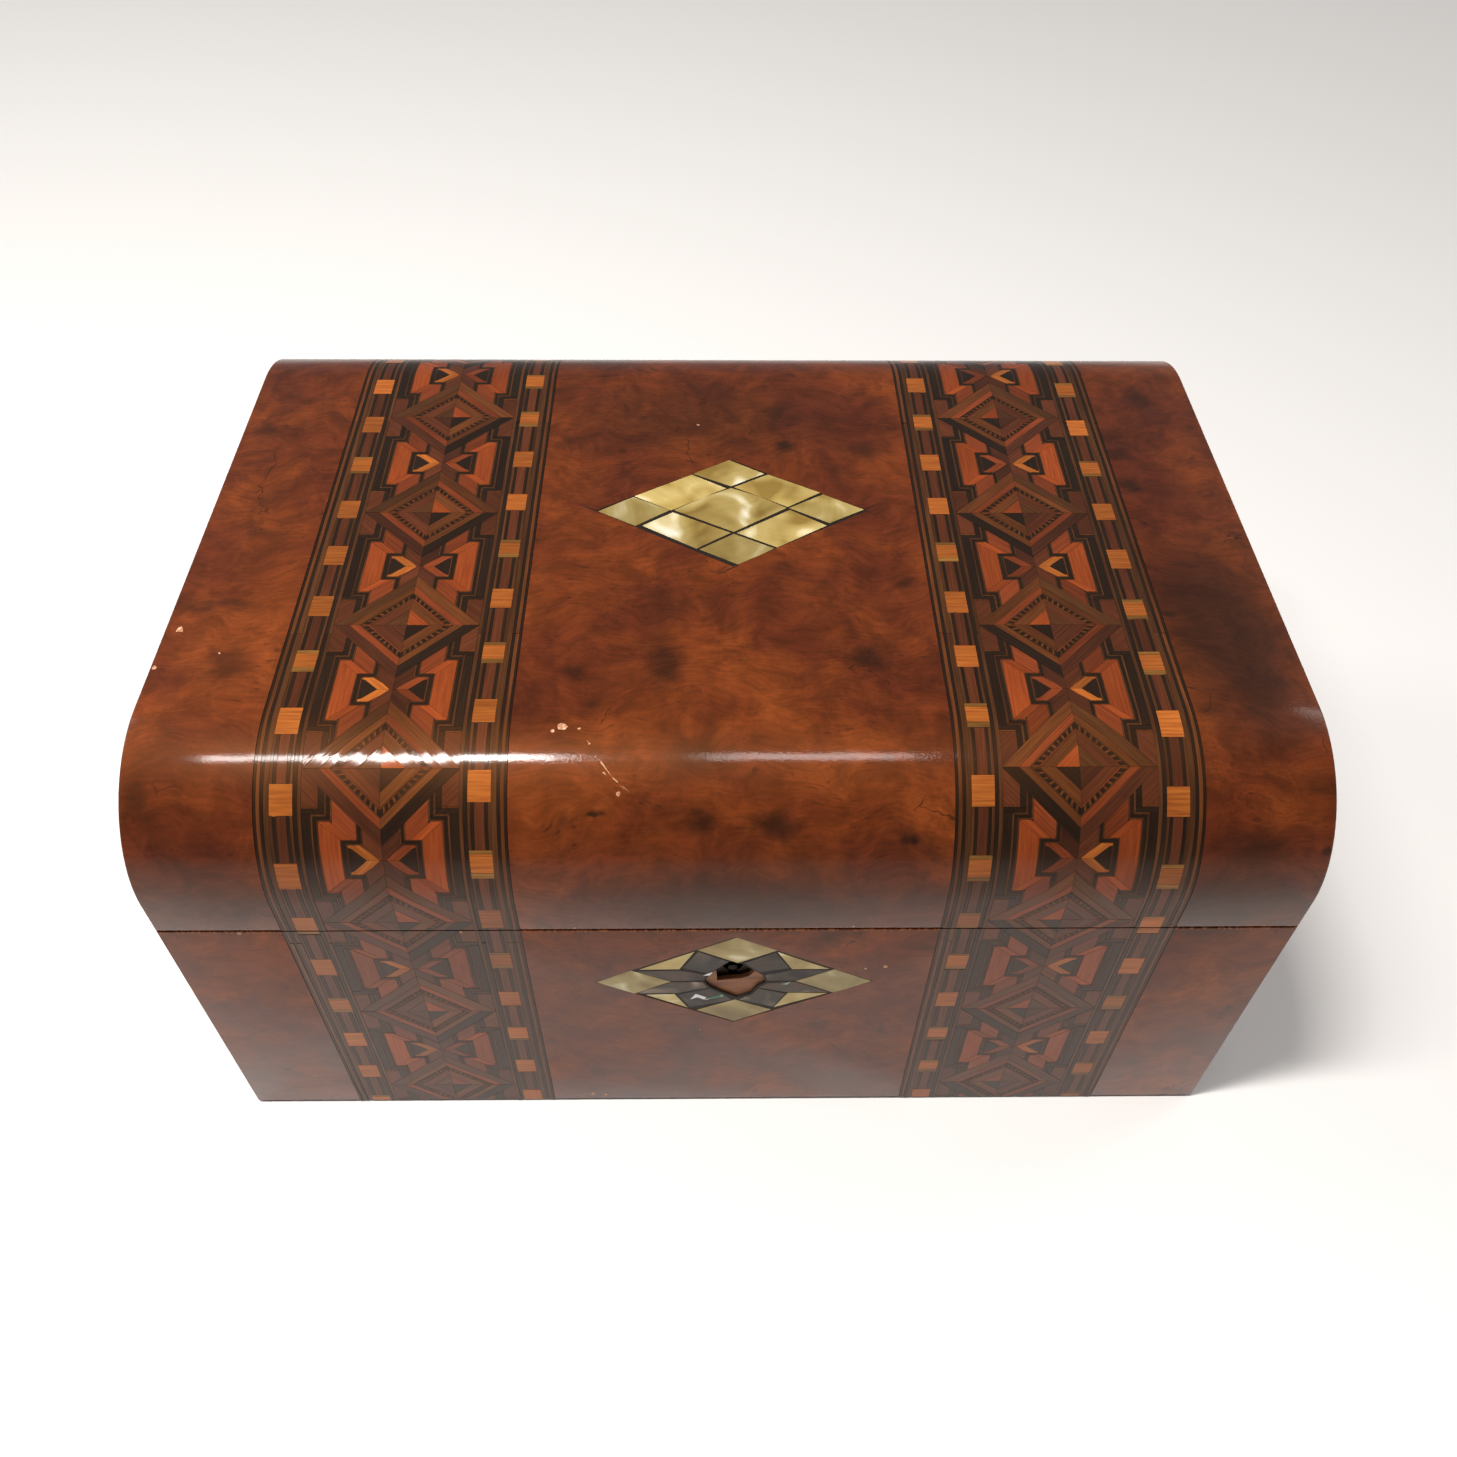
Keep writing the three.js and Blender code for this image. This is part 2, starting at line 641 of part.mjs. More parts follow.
for (const [label, side] of SIDES) {
  const wallX = span(side, trayInnerX, trayX);
  const dividerX = span(side, CROSS_DIVIDER_X, CROSS_DIVIDER_X + TRAY.divider);
  add(tray, `tray_${label}`, block(wallX, [-trayInnerY + GLUE, trayInnerY - GLUE], trayZ), trayWood);
  add(tray, `tray_divider_${label}`, block(
    dividerX,
    [-trayInnerY + GLUE, LONG_DIVIDER_Y - GLUE],
    dividerZ,
  ), trayWood);
}

export default box;
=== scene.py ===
import math
import random

import bmesh
import bpy
from mathutils import Matrix, Vector


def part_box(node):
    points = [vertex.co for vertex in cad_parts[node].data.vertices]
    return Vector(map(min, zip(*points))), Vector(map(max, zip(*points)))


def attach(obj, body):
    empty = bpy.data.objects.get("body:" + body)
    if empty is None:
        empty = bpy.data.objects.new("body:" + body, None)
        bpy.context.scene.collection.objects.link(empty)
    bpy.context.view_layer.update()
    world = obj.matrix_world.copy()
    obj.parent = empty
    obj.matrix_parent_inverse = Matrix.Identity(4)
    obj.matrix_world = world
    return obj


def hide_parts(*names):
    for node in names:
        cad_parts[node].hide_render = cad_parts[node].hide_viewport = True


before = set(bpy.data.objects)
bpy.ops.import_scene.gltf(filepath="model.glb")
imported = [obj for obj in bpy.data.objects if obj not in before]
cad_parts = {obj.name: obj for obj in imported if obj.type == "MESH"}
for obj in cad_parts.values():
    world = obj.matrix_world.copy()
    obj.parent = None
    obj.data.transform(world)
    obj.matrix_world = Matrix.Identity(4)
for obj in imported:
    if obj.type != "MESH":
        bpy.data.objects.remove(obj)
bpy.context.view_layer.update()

# A keyed keepsake box: plain boards under burr walnut veneer, two bands of parquetry that
# run up the front and over the round-shouldered lid, pearl let into the lid and round the
# keyhole, and a lined inside with a lift-out tray. Metres throughout; mm() reads millimetres.


def mm(value):
    return value * 0.001


# ---------------------------------------------------------------------------------------
# The view: a plain pale floor, three ceiling lamps that the polished shoulder mirrors, two
# side lamps, and a camera above the front edge, looking down on the lid at nearly 49 degrees.

CAMERA_TARGET = Vector((mm(0.95), mm(-1.96), mm(56)))
CAMERA_DISTANCE = mm(407.4)
CAMERA_AZIMUTH = math.radians(-1.2994)
CAMERA_ELEVATION = math.radians(48.8404)
CAMERA_ROLL = math.radians(0.8767)
LENS = 31.59  # focal length in millimetres
SENSOR = 36  # width in millimetres

camera = bpy.data.objects.new("camera", bpy.data.cameras.new("camera"))
bpy.context.scene.collection.objects.link(camera)
camera.data.lens = LENS
camera.data.sensor_width = SENSOR
camera.data.clip_start = 0.01
back = Vector((
    math.sin(CAMERA_AZIMUTH) * math.cos(CAMERA_ELEVATION),
    -math.cos(CAMERA_AZIMUTH) * math.cos(CAMERA_ELEVATION),
    math.sin(CAMERA_ELEVATION),
))
level_right = Vector((0, 0, 1)).cross(back).normalized()
level_up = back.cross(level_right)
right = level_right * math.cos(CAMERA_ROLL) + level_up * math.sin(CAMERA_ROLL)
up = level_up * math.cos(CAMERA_ROLL) - level_right * math.sin(CAMERA_ROLL)
camera.matrix_world = Matrix.Translation(CAMERA_TARGET + back * CAMERA_DISTANCE) @ Matrix((
    (right.x, up.x, back.x, 0),
    (right.y, up.y, back.y, 0),
    (right.z, up.z, back.z, 0),
    (0, 0, 0, 1),
))
bpy.context.scene.camera = camera
bpy.context.scene.view_settings.view_transform = "Standard"


def srgb(code, alpha=1.0):
    """A colour written as sRGB hex, turned to the linear values that nodes take."""
    parts = [int(code[i:i + 2], 16) / 255 for i in (0, 2, 4)]
    return [c / 12.92 if c <= 0.04045 else ((c + 0.055) / 1.055) ** 2.4 for c in parts] + [alpha]


def add(tree, kind, inputs=(), stops=(), **settings):
    """Adds one node. inputs maps a socket to a value, another socket, or a node for its output."""
    node = tree.nodes.new(kind)
    for key, value in settings.items():
        setattr(node, key, value)
    for key, value in dict(inputs).items():
        if isinstance(value, bpy.types.Node):
            value = next(socket for socket in value.outputs if socket.enabled)
        if isinstance(value, bpy.types.NodeSocket):
            tree.links.new(value, node.inputs[key])
        else:
            node.inputs[key].default_value = value
    if stops:
        elements = node.color_ramp.elements
        while len(elements) < len(stops):
            elements.new(0.5)
        for element, (place, code) in zip(elements, stops):
            element.position = place
            element.color = srgb(code)
    return node


def new_finish(name, **constants):
    """A material with a Principled shader whose constant inputs are set on its own sockets."""
    material = bpy.data.materials.new(name)
    material.use_nodes = True
    tree = material.node_tree
    shader = tree.nodes["Principled BSDF"]
    for socket, value in constants.items():
        shader.inputs[socket.replace("_", " ")].default_value = value
    return material, tree, shader


world = bpy.data.worlds.new("studio")
world.use_nodes = True
world.node_tree.nodes["Background"].inputs["Color"].default_value = srgb("f4f5f8")
world.node_tree.nodes["Background"].inputs["Strength"].default_value = 0.26
bpy.context.scene.world = world

# Each lamp: name, centre, width and depth of its face, power in watts. All face down. The
# side lamps only fill, and stand too far out for the box to mirror them.
LAMPS = (
    ("ceiling_lamp_left_end", (-0.52, -0.20, 1.14), (0.25, 0.08), 4.6),
    ("ceiling_lamp_left", (-0.28, -0.20, 1.14), (0.23, 0.08), 10.2),
    ("ceiling_lamp_right", (0.10, -0.19, 1.14), (0.20, 0.10), 1.8),
    ("side_lamp_left", (-2.6, 0.9, 2.2), (1.2, 1.2), 36.0),
    ("side_lamp_right", (2.6, 1.3, 2.2), (1.2, 1.2), 26.0),
)
for name, place, (width, depth), power in LAMPS:
    lamp = bpy.data.lights.new(name, "AREA")
    lamp.shape = "RECTANGLE"
    lamp.size = width
    lamp.size_y = depth
    lamp.energy = power
    lamp.color = srgb("fffaf6")[:3]
    holder = bpy.data.objects.new(name, lamp)
    bpy.context.scene.collection.objects.link(holder)
    holder.location = place

FLOOR_HALF = 4.0
floor_mesh = bpy.data.meshes.new("floor")
floor_corners = [(x * FLOOR_HALF, y * FLOOR_HALF, 0) for x, y in ((-1, -1), (1, -1), (1, 1), (-1, 1))]
floor_mesh.from_pydata(floor_corners, [], [(0, 1, 2, 3)])
floor = bpy.data.objects.new("floor", floor_mesh)
bpy.context.scene.collection.objects.link(floor)
# Matt white paper: even and pale, with only a faint mottle.
paper, tree, shader = new_finish("matt white paper", Roughness=0.9)
mottle = add(tree, "ShaderNodeTexNoise", {"Scale": 6.0, "Detail": 2.0})
tint = add(tree, "ShaderNodeValToRGB", {0: mottle}, stops=((0.3, "ecebe8"), (0.7, "f1f0ee")))
tree.links.new(tint.outputs[0], shader.inputs["Base Color"])
floor_mesh.materials.append(paper)

# ---------------------------------------------------------------------------------------
# The carcass: ten boards of plain softwood, butted and glued, hidden by veneer outside
# and lining inside. Only their edges show, on the rims and through the broken keyhole.

CARCASS = (
    "base_front_board", "base_back_board", "base_left_end", "base_right_end",
    "base_bottom_board", "lid_top_board", "lid_left_end", "lid_right_end",
    "lid_front_rail", "lid_back_rail",
)

# Planed pine, darkened by age: orange-brown, with soft growth lines about 2 mm apart along X.
pine, tree, shader = new_finish("aged planed pine", Roughness=0.62)
place = add(tree, "ShaderNodeTexCoord")
stretch = add(tree, "ShaderNodeMapping", {0: place.outputs["Object"], "Scale": (30, 500, 500)})
rings = add(tree, "ShaderNodeTexNoise", {"Vector": stretch, "Scale": 1.0, "Detail": 3.0})
wood = add(
    tree, "ShaderNodeValToRGB", {0: rings},
    stops=((0.3, "63371f"), (0.5, "824f2d"), (0.7, "95643d")),
)
fuzz = add(tree, "ShaderNodeBump", {"Height": rings, "Distance": mm(0.1), "Strength": 0.5})
tree.links.new(wood.outputs[0], shader.inputs["Base Color"])
tree.links.new(fuzz.outputs[0], shader.inputs["Normal"])


def coat_nodes(names, material):
    """CAD nodes whose shape is right keep it and take this finish."""
    for name in names:
        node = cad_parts[name]
        node.data.materials.clear()
        node.data.materials.append(material)


coat_nodes(CARCASS, pine)

# ---------------------------------------------------------------------------------------
# The burr walnut: leaves of veneer 0.8 mm thick, glued over the front, the ends, the back
# and in one bend over the lid. Each is cut flat and then bent, as on the bench: across is
# u, along the girth is v, counted up from the front parting line, and h is the height.

veneer_low, veneer_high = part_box("lid_burr_left")
HALF_WIDTH = -veneer_low[0]
HALF_DEPTH = veneer_high[1]
LID_TOP = veneer_high[2]
LID_EDGE = veneer_low[2]
BASE_BOTTOM, BASE_TOP = (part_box("front_burr_left")[i][2] for i in (0, 1))
PARTING = (LID_EDGE + BASE_TOP) / 2
GLUE_LINE = mm(0.1)
SHOULDER = HALF_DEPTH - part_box("lid_top_board")[1][1] - GLUE_LINE
SPRING = LID_TOP - SHOULDER - PARTING  # from the parting line up to where the bend starts
BEND = SHOULDER * math.pi / 2
FLAT = 2 * (HALF_DEPTH - SHOULDER)
GIRTH = 2 * (SPRING + BEND) + FLAT  # over the lid, from parting line to parting line
VENEER = mm(0.8)
HALF_GAP = LID_EDGE - PARTING
BEND_STEPS = 24
LID_RUN = (HALF_GAP, GIRTH - HALF_GAP)
FRONT_RUN = (BASE_BOTTOM - PARTING, -HALF_GAP)
BACK_RUN = (GIRTH + HALF_GAP, GIRTH + PARTING - BASE_BOTTOM)


def bend_lines(run):
    """Where a flat sheet is scored so that it can follow both shoulders."""
    starts = (SPRING, SPRING + BEND + FLAT)
    lines = [start + BEND * step / BEND_STEPS for start in starts for step in range(BEND_STEPS + 1)]
    return [line for line in lines if run[0] < line < run[1]]


def build_bend_tree():
    """Geometry Nodes that bend a flat sheet (u, v, h) over the box."""
    tree = bpy.data.node_groups.new("bend over the box", "GeometryNodeTree")
    tree.is_modifier = True
    sockets = (
        ("Geometry", "INPUT", "NodeSocketGeometry"),
        ("Half depth", "INPUT", "NodeSocketFloat"),
        ("Shoulder radius", "INPUT", "NodeSocketFloat"),
        ("Straight edge", "INPUT", "NodeSocketFloat"),
        ("Flat top", "INPUT", "NodeSocketFloat"),
        ("Parting height", "INPUT", "NodeSocketFloat"),
        ("Finish", "INPUT", "NodeSocketMaterial"),
        ("One finish", "INPUT", "NodeSocketBool"),
        ("Geometry", "OUTPUT", "NodeSocketGeometry"),
    )
    for name, direction, kind in sockets:
        tree.interface.new_socket(name, in_out=direction, socket_type=kind)
    given = add(tree, "NodeGroupInput").outputs
    flat = add(tree, "ShaderNodeSeparateXYZ", {0: add(tree, "GeometryNodeInputPosition")})
    # Each step: the value it makes, the sum that makes it, and what goes in.
    steps = (
        ("arc", "MULTIPLY", "Shoulder radius", math.pi / 2),
        ("after edge", "SUBTRACT", "v", "Straight edge"),
        ("after front", "SUBTRACT", "after edge", "arc"),
        ("after top", "SUBTRACT", "after front", "Flat top"),
        ("after back", "SUBTRACT", "after top", "arc"),
        ("rise", "MINIMUM", "v", "Straight edge"),
        ("front arc", "MAXIMUM", "after edge", 0.0),
        ("front arc", "MINIMUM", "front arc", "arc"),
        ("front turn", "DIVIDE", "front arc", "Shoulder radius"),
        ("across", "MAXIMUM", "after front", 0.0),
        ("across", "MINIMUM", "across", "Flat top"),
        ("rear arc", "MAXIMUM", "after top", 0.0),
        ("rear arc", "MINIMUM", "rear arc", "arc"),
        ("rear turn", "DIVIDE", "rear arc", "Shoulder radius"),
        ("fall", "MAXIMUM", "after back", 0.0),
        ("turn", "ADD", "front turn", "rear turn"),
        ("front cosine", "COSINE", "front turn"),
        ("front sine", "SINE", "front turn"),
        ("rear cosine", "COSINE", "rear turn"),
        ("rear sine", "SINE", "rear turn"),
        ("reach", "SUBTRACT", "rear sine", "front cosine"),
        ("reach", "ADD", "reach", 1.0),
        ("climb", "ADD", "front sine", "rear cosine"),
        ("climb", "SUBTRACT", "climb", 1.0),
        ("lean", "COSINE", "turn"),
        ("lean", "MULTIPLY", "lean", "h"),
        ("lift", "SINE", "turn"),
        ("lift", "MULTIPLY", "lift", "h"),
        ("y", "MULTIPLY", "reach", "Shoulder radius"),
        ("y", "SUBTRACT", "y", "Half depth"),
        ("y", "ADD", "y", "across"),
        ("y", "SUBTRACT", "y", "lean"),
        ("z", "MULTIPLY", "climb", "Shoulder radius"),
        ("z", "ADD", "z", "Parting height"),
        ("z", "ADD", "z", "rise"),
        ("z", "SUBTRACT", "z", "fall"),
        ("z", "ADD", "z", "lift"),
    )
    known = {socket.name: socket for socket in given}
    known.update(zip("uvh", flat.outputs))
    for name, operation, *terms in steps:
        inputs = {place: known.get(term, term) for place, term in enumerate(terms)}
        known[name] = add(tree, "ShaderNodeMath", inputs, operation=operation)
    bent = add(tree, "ShaderNodeCombineXYZ", {0: known["u"], 1: known["y"], 2: known["z"]})
    moved = add(tree, "GeometryNodeSetPosition", {0: given["Geometry"], "Position": bent})
    whole = add(tree, "GeometryNodeRealizeInstances", {0: moved})
    painted = add(tree, "GeometryNodeSetMaterial", {
        0: whole, "Selection": given["One finish"], "Material": given["Finish"],
    })
    add(tree, "NodeGroupOutput", {0: painted})
    return tree


def run_tree(name, source, tree, values):
    """Runs a Geometry Nodes tree on a mesh and returns the result as a plain object."""
    carrier = bpy.data.objects.new(name + "_flat", source)
    bpy.context.scene.collection.objects.link(carrier)
    modifier = carrier.modifiers.new("tree", "NODES")
    modifier.node_group = tree
    for item in tree.interface.items_tree:
        if item.in_out == "INPUT" and item.name in values:
            modifier[item.identifier] = values[item.name]
    carrier.update_tag()
    evaluated = carrier.evaluated_get(bpy.context.evaluated_depsgraph_get())
    mesh = bpy.data.meshes.new_from_object(evaluated)
    mesh.name = name
    carrier.modifiers.remove(modifier)
    bpy.data.objects.remove(carrier)
    bpy.data.meshes.remove(source)
    piece = bpy.data.objects.new(name, mesh)
    bpy.context.scene.collection.objects.link(piece)
    return piece


SMOOTH_BELOW = math.radians(32)


def smooth(mesh):
    """Smooth shading, kept sharp at the arrises."""
    mesh.shade_smooth()
    mesh.set_sharp_from_angle(angle=SMOOTH_BELOW)


def as_piece(name, bm, finish=None):
    """Turns a bmesh into an object in the scene, smoothed and coated if it has a finish."""
    mesh = bpy.data.meshes.new(name)
    bm.to_mesh(mesh)
    bm.free()
    if finish:
        smooth(mesh)
        mesh.materials.append(finish)
    piece = bpy.data.objects.new(name, mesh)
    bpy.context.scene.collection.objects.link(piece)
    return piece


def thicken(bm, faces, offset):
    """Makes a solid of flat faces and a copy of them moved by offset."""
    sheet = bmesh.ops.extrude_face_region(bm, geom=faces, use_keep_orig=True)
    moved = [item for item in sheet["geom"] if isinstance(item, bmesh.types.BMVert)]
    bmesh.ops.translate(bm, verts=moved, vec=offset)
    bmesh.ops.recalc_face_normals(bm, faces=bm.faces)


bend_tree = build_bend_tree()


def bend(name, flat_bm, material=None, woods=()):
    """Bends a flat bmesh over the box, in one finish or with the finishes its faces carry."""
    source = bpy.data.meshes.new(name + "_sheet")
    flat_bm.to_mesh(source)
    flat_bm.free()
    for wood_finish in woods:
        source.materials.append(wood_finish)
    piece = run_tree(name, source, bend_tree, {
        "Half depth": HALF_DEPTH,
        "Shoulder radius": SHOULDER,
        "Straight edge": SPRING,
        "Flat top": FLAT,
        "Parting height": PARTING,
        "Finish": material,
        "One finish": material is not None,
    })
    smooth(piece.data)
    return piece


def score(bm, lines):
    """Cuts every face along lines of constant v."""
    for line in lines:
        parts = bm.verts[:] + bm.edges[:] + bm.faces[:]
        bmesh.ops.bisect_plane(bm, geom=parts, plane_co=(0, line, 0), plane_no=(0, 1, 0))


SAW_REACH = mm(150)  # further than any uncut face's middle lies from a hole it meets


def saw_out(bm, outline):
    """Cuts a convex hole out of a flat sheet; the outline runs anticlockwise."""
    middle = sum((Vector(p) for p in outline), Vector((0, 0))) / len(outline)
    edges = [(Vector(a), Vector(b)) for a, b in zip(outline, outline[1:] + outline[:1])]
    sides = [(a, Vector(((b - a).y, -(b - a).x)).normalized()) for a, b in edges]
    reach = max((Vector(p) - middle).length for p in outline) + mm(1)
    for corner, normal in sides:
        near = [
            face for face in bm.faces
            if (face.calc_center_median().xy - middle).length < reach + SAW_REACH
        ]
        parts = near + list({edge for face in near for edge in face.edges})
        parts += list({vert for face in near for vert in face.verts})
        bmesh.ops.bisect_plane(bm, geom=parts, plane_co=(*corner, 0), plane_no=(*normal, 0))
    inside = [
        face for face in bm.faces
        if all((face.calc_center_median().xy - corner).dot(normal) < 0 for corner, normal in sides)
    ]
    bmesh.ops.delete(bm, geom=inside, context="FACES")


ARRIS = mm(0.45)  # how far the outer corners of the box are worn round
TOUCH = mm(0.01)  # points closer than this to a line are on it


def veneer_leaf(name, across, run, holes, worn_sides, origin):
    """A leaf of veneer with its worn arrises; origin is where it lay in the burr."""
    bm = bmesh.new()
    corners = (across[0], run[0]), (across[1], run[0]), (across[1], run[1]), (across[0], run[1])
    bm.faces.new([bm.verts.new((u, v, 0)) for u, v in corners])
    for hole in holes:
        saw_out(bm, hole)
    score(bm, bend_lines(run))
    thicken(bm, bm.faces[:], (0, 0, -VENEER))
    lines = [(0, side) for side in worn_sides] + [(1, end) for end in run]
    worn = [
        edge for edge in bm.edges
        if all(vert.co.z > -TOUCH for vert in edge.verts) and any(
            all(abs(vert.co[axis] - line) < TOUCH for vert in edge.verts) for axis, line in lines
        )
    ]
    bmesh.ops.bevel(bm, geom=worn, offset=ARRIS, segments=3, profile=0.5, affect="EDGES")
    uv = bm.loops.layers.uv.new("leaf")
    for face in bm.faces:
        for loop in face.loops:
            loop[uv].uv = (loop.vert.co.x + origin[0], loop.vert.co.y + origin[1])
    return bend(name, bm, burr)


# Burr walnut under French polish: red-brown clouds in orange-brown, smoky purple-grey
# patches, small eyes with dark rims, flecks 1 to 3 mm long and a few fine cracks. The polish
# is a thin clear skin with a slight ripple, so lamps mirror in it as soft-edged streaks.
POLISH = {
    "Coat_Weight": 0.6, "Coat_Roughness": 0.095, "Coat_IOR": 1.31, "Specular_IOR_Level": 0.3,
    "Specular_Tint": srgb("ffa868"),
}
burr, tree, shader = new_finish("French polished burr walnut", **POLISH)
leaf_uv = add(tree, "ShaderNodeUVMap", uv_map="leaf")
in_mm = add(tree, "ShaderNodeVectorMath", {0: leaf_uv, 1: (1000, 1000, 1000)}, operation="MULTIPLY")
pulled = []
for size, strength in ((30, 26.0), (5, 6.0)):  # swirls 30 mm apart, and a 5 mm raggedness
    drift = add(tree, "ShaderNodeTexNoise", {"Vector": in_mm, "Scale": 1 / size, "Detail": 2.0})
    centred = add(
        tree, "ShaderNodeVectorMath", {0: drift.outputs[1], 1: (0.5, 0.5, 0.5)}, operation="SUBTRACT",
    )
    pull = add(tree, "ShaderNodeVectorMath", {0: centred, "Scale": strength}, operation="SCALE")
    pulled.append(add(tree, "ShaderNodeVectorMath", {0: in_mm, 1: pull}, operation="ADD"))
curled, frayed = pulled
combed = add(tree, "ShaderNodeMapping", {0: curled, "Rotation": (0, 0, 0.5), "Scale": (1 / 9, 1 / 0.9, 1)})
fleck_way = add(tree, "ShaderNodeMapping", {0: curled, "Rotation": (0, 0, 0.3), "Scale": (1 / 3.2, 1, 1)})

BURR_FIGURE = {
    # what it makes: where it is read, size in mm, detail, roughness
    "cloud": (curled, 46, 5.0, 0.6), "red": (curled, 33, 3.0, 0.5), "smoke": (curled, 19, 4.0, 0.6),
    "mottle": (curled, 7, 3.0, 0.6), "pores": (in_mm, 0.8, 1.0, 0.5), "fleck zone": (in_mm, 17, 2.0, 0.5),
    "crack zone": (in_mm, 24, 2.0, 0.5), "ripple": (in_mm, 9, 1.0, 0.5), "grit": (in_mm, 0.6, 2.0, 0.5),
    "fibre": (combed, 1, 3.0, 0.5), "fleck": (fleck_way, 1.25, 1.0, 0.5),
}
figure = {
    name: add(tree, "ShaderNodeTexNoise", {
        "Vector": vector, "Scale": 1 / size, "Detail": detail, "Roughness": roughness,
    })
    for name, (vector, size, detail, roughness) in BURR_FIGURE.items()
}
eyes = add(tree, "ShaderNodeTexVoronoi", {"Vector": curled, "Scale": 1 / 24})
crack_cells = add(
    tree, "ShaderNodeTexVoronoi", {"Vector": frayed, "Scale": 1 / 44}, feature="DISTANCE_TO_EDGE",
)
girth_way = add(tree, "ShaderNodeSeparateXYZ", {0: in_mm})
from_edge = add(tree, "ShaderNodeMath", {0: girth_way.outputs[1]}, operation="ABSOLUTE")
BURR_MASKS = {
    # what it shows: the value it is read from, the two ends of its range, the strength at each
    "red": (figure["red"], 0.46, 0.64, 0.0, 0.6), "smoke": (figure["smoke"], 0.58, 0.78, 0.0, 0.75),
    "eye": (eyes.outputs["Distance"], 0.02, 0.075, 0.8, 0.0),
    "fleck": (figure["fleck"], 0.63, 0.74, 0.0, 1.0),
    "fleck zone": (figure["fleck zone"], 0.45, 0.62, 0.0, 0.6),
    "fibre": (figure["fibre"], 0.3, 0.7, 0.86, 1.14), "pores": (figure["pores"], 0.22, 0.42, 0.76, 1.0),
    "mottle": (figure["mottle"], 0.3, 0.7, 0.6, 1.02),
    "crack": (crack_cells, 0.0, 0.006, 0.8, 0.0), "crack zone": (figure["crack zone"], 0.60, 0.65, 0.0, 1.0),
    "edge": (from_edge, 0.5, 1.1, 0.8, 0.0), "worn": (figure["pores"], 0.48, 0.6, 0.0, 1.0),
    "gloss": (figure["cloud"], 0.3, 0.7, 0.42, 0.55),
}
mask = {
    name: add(tree, "ShaderNodeMapRange", dict(enumerate(row)), interpolation_type="SMOOTHSTEP")
    for name, row in BURR_MASKS.items()
}

# Where the burr's own dark figure lies, with broad patches over the right field that paint the shade where
# the light falls off to that side: across, along the girth, reach each way (mm), depth.
DARK_FIGURE_AND_SHADE = (
    (-16, 78, 7, 13, 0.7), (34, 80, 9, 7, 0.75), (-38, 75, 5, 5, 0.65), (45, 106, 5, 4, 0.7),
    (14, 182, 8, 9, 0.7), (17, 165, 5, 4, 0.9), (-46, 167, 5, 5, 0.55), (-8, 50, 10, 9, 0.6),
    (10, 34, 9, 5, 0.8), (-7, 35, 5, 5, 0.7), (41.3, 30, 3, 2.8, 1.0), (-31, 37, 2.4, 1.6, 0.95),
    (-23, 14, 7, 9, 0.55), (43, 12, 12, 10, 0.45), (-14, 168, 24, 8, 0.45), (40, 163, 8, 7, 0.55),
    (-121, 77, 9, 8, 0.5), (-136, 41, 6, 9, 0.6), (-133, 172, 6, 7, 0.5), (-128, 98, 14, 4, 0.55),
    (113, 147, 7, 6, 0.75), (111, 161, 5, 4, 0.65), (115, 63, 9, 6, 0.65), (124, 189, 6, 8, 0.6),
    (122, 27, 16, 9, 0.6), (135, -40, 2, 2, 0.8), (117, -72, 4, 3, 0.4), (-30, 190, 12, 9, 0.4),
    (122, 88, 30, 52, 0.75), (-10, 178, 60, 26, 0.55), (0, 10, 62, 19, 0.8), (118, 10, 34, 20, 0.8),
    (-120, 10, 34, 18, 0.7),
)
dark = 0.0
for u, v, across, along, depth in DARK_FIGURE_AND_SHADE:
    local = add(tree, "ShaderNodeMapping", {
        0: frayed, "Location": (-u / across, -v / along, 0), "Scale": (1 / across, 1 / along, 0),
    })
    length = add(tree, "ShaderNodeVectorMath", {0: local}, operation="LENGTH")
    spot = add(
        tree, "ShaderNodeMapRange", {0: length, 1: 0.15, 2: 1.0, 3: depth, 4: 0.0},
        interpolation_type="SMOOTHSTEP",
    )
    dark = add(tree, "ShaderNodeMath", {0: dark, 1: spot}, operation="MAXIMUM")

ground = add(
    tree, "ShaderNodeValToRGB", {0: figure["cloud"]},
    stops=((0.30, "431b0d"), (0.42, "58250f"), (0.52, "6b3011"), (0.63, "7b3a15"), (0.78, "894619")),
)
eye_pick = add(tree, "ShaderNodeSeparateColor", {0: eyes.outputs["Color"]})
eye_here = add(tree, "ShaderNodeMath", {0: eye_pick, 1: 0.72}, operation="GREATER_THAN")
joined = {
    name: add(tree, "ShaderNodeMath", {0: first, 1: second}, operation="MULTIPLY")
    for name, first, second in (
        ("eye", mask["eye"], eye_here), ("fleck", mask["fleck"], mask["fleck zone"]),
        ("crack", mask["crack"], mask["crack zone"]), ("edge wear", mask["edge"], mask["worn"]),
        ("tone", mask["fibre"], mask["pores"]),
    )
}
toning = add(tree, "ShaderNodeMath", {0: joined["tone"], 1: mask["mottle"]}, operation="MULTIPLY")
colour = ground
# Red clouds and smoke, then the dark figure and painted shade of the table above in 200f08, then eyes and
# flecks.
for amount, code in (
    (mask["red"], "53200f"), (mask["smoke"], "28140c"), (dark, "200f08"),
    (joined["eye"], "180d08"), (joined["fleck"], "2f160b"),
):
    colour = add(tree, "ShaderNodeMix", {0: amount, 6: colour, 7: srgb(code)}, data_type="RGBA")
colour = add(tree, "ShaderNodeVectorMath", {0: colour, "Scale": toning}, operation="SCALE")
for amount, code in ((joined["crack"], "1a0c06"), (joined["edge wear"], "8a5230")):
    colour = add(tree, "ShaderNodeMix", {0: amount, 6: colour, 7: srgb(code)}, data_type="RGBA")
tree.links.new(colour.outputs[2], shader.inputs["Base Color"])
tree.links.new(mask["gloss"].outputs[0], shader.inputs["Roughness"])
ripple_bump = add(tree, "ShaderNodeBump", {"Height": figure["ripple"], "Distance": mm(0.05), "Strength": 1.0})
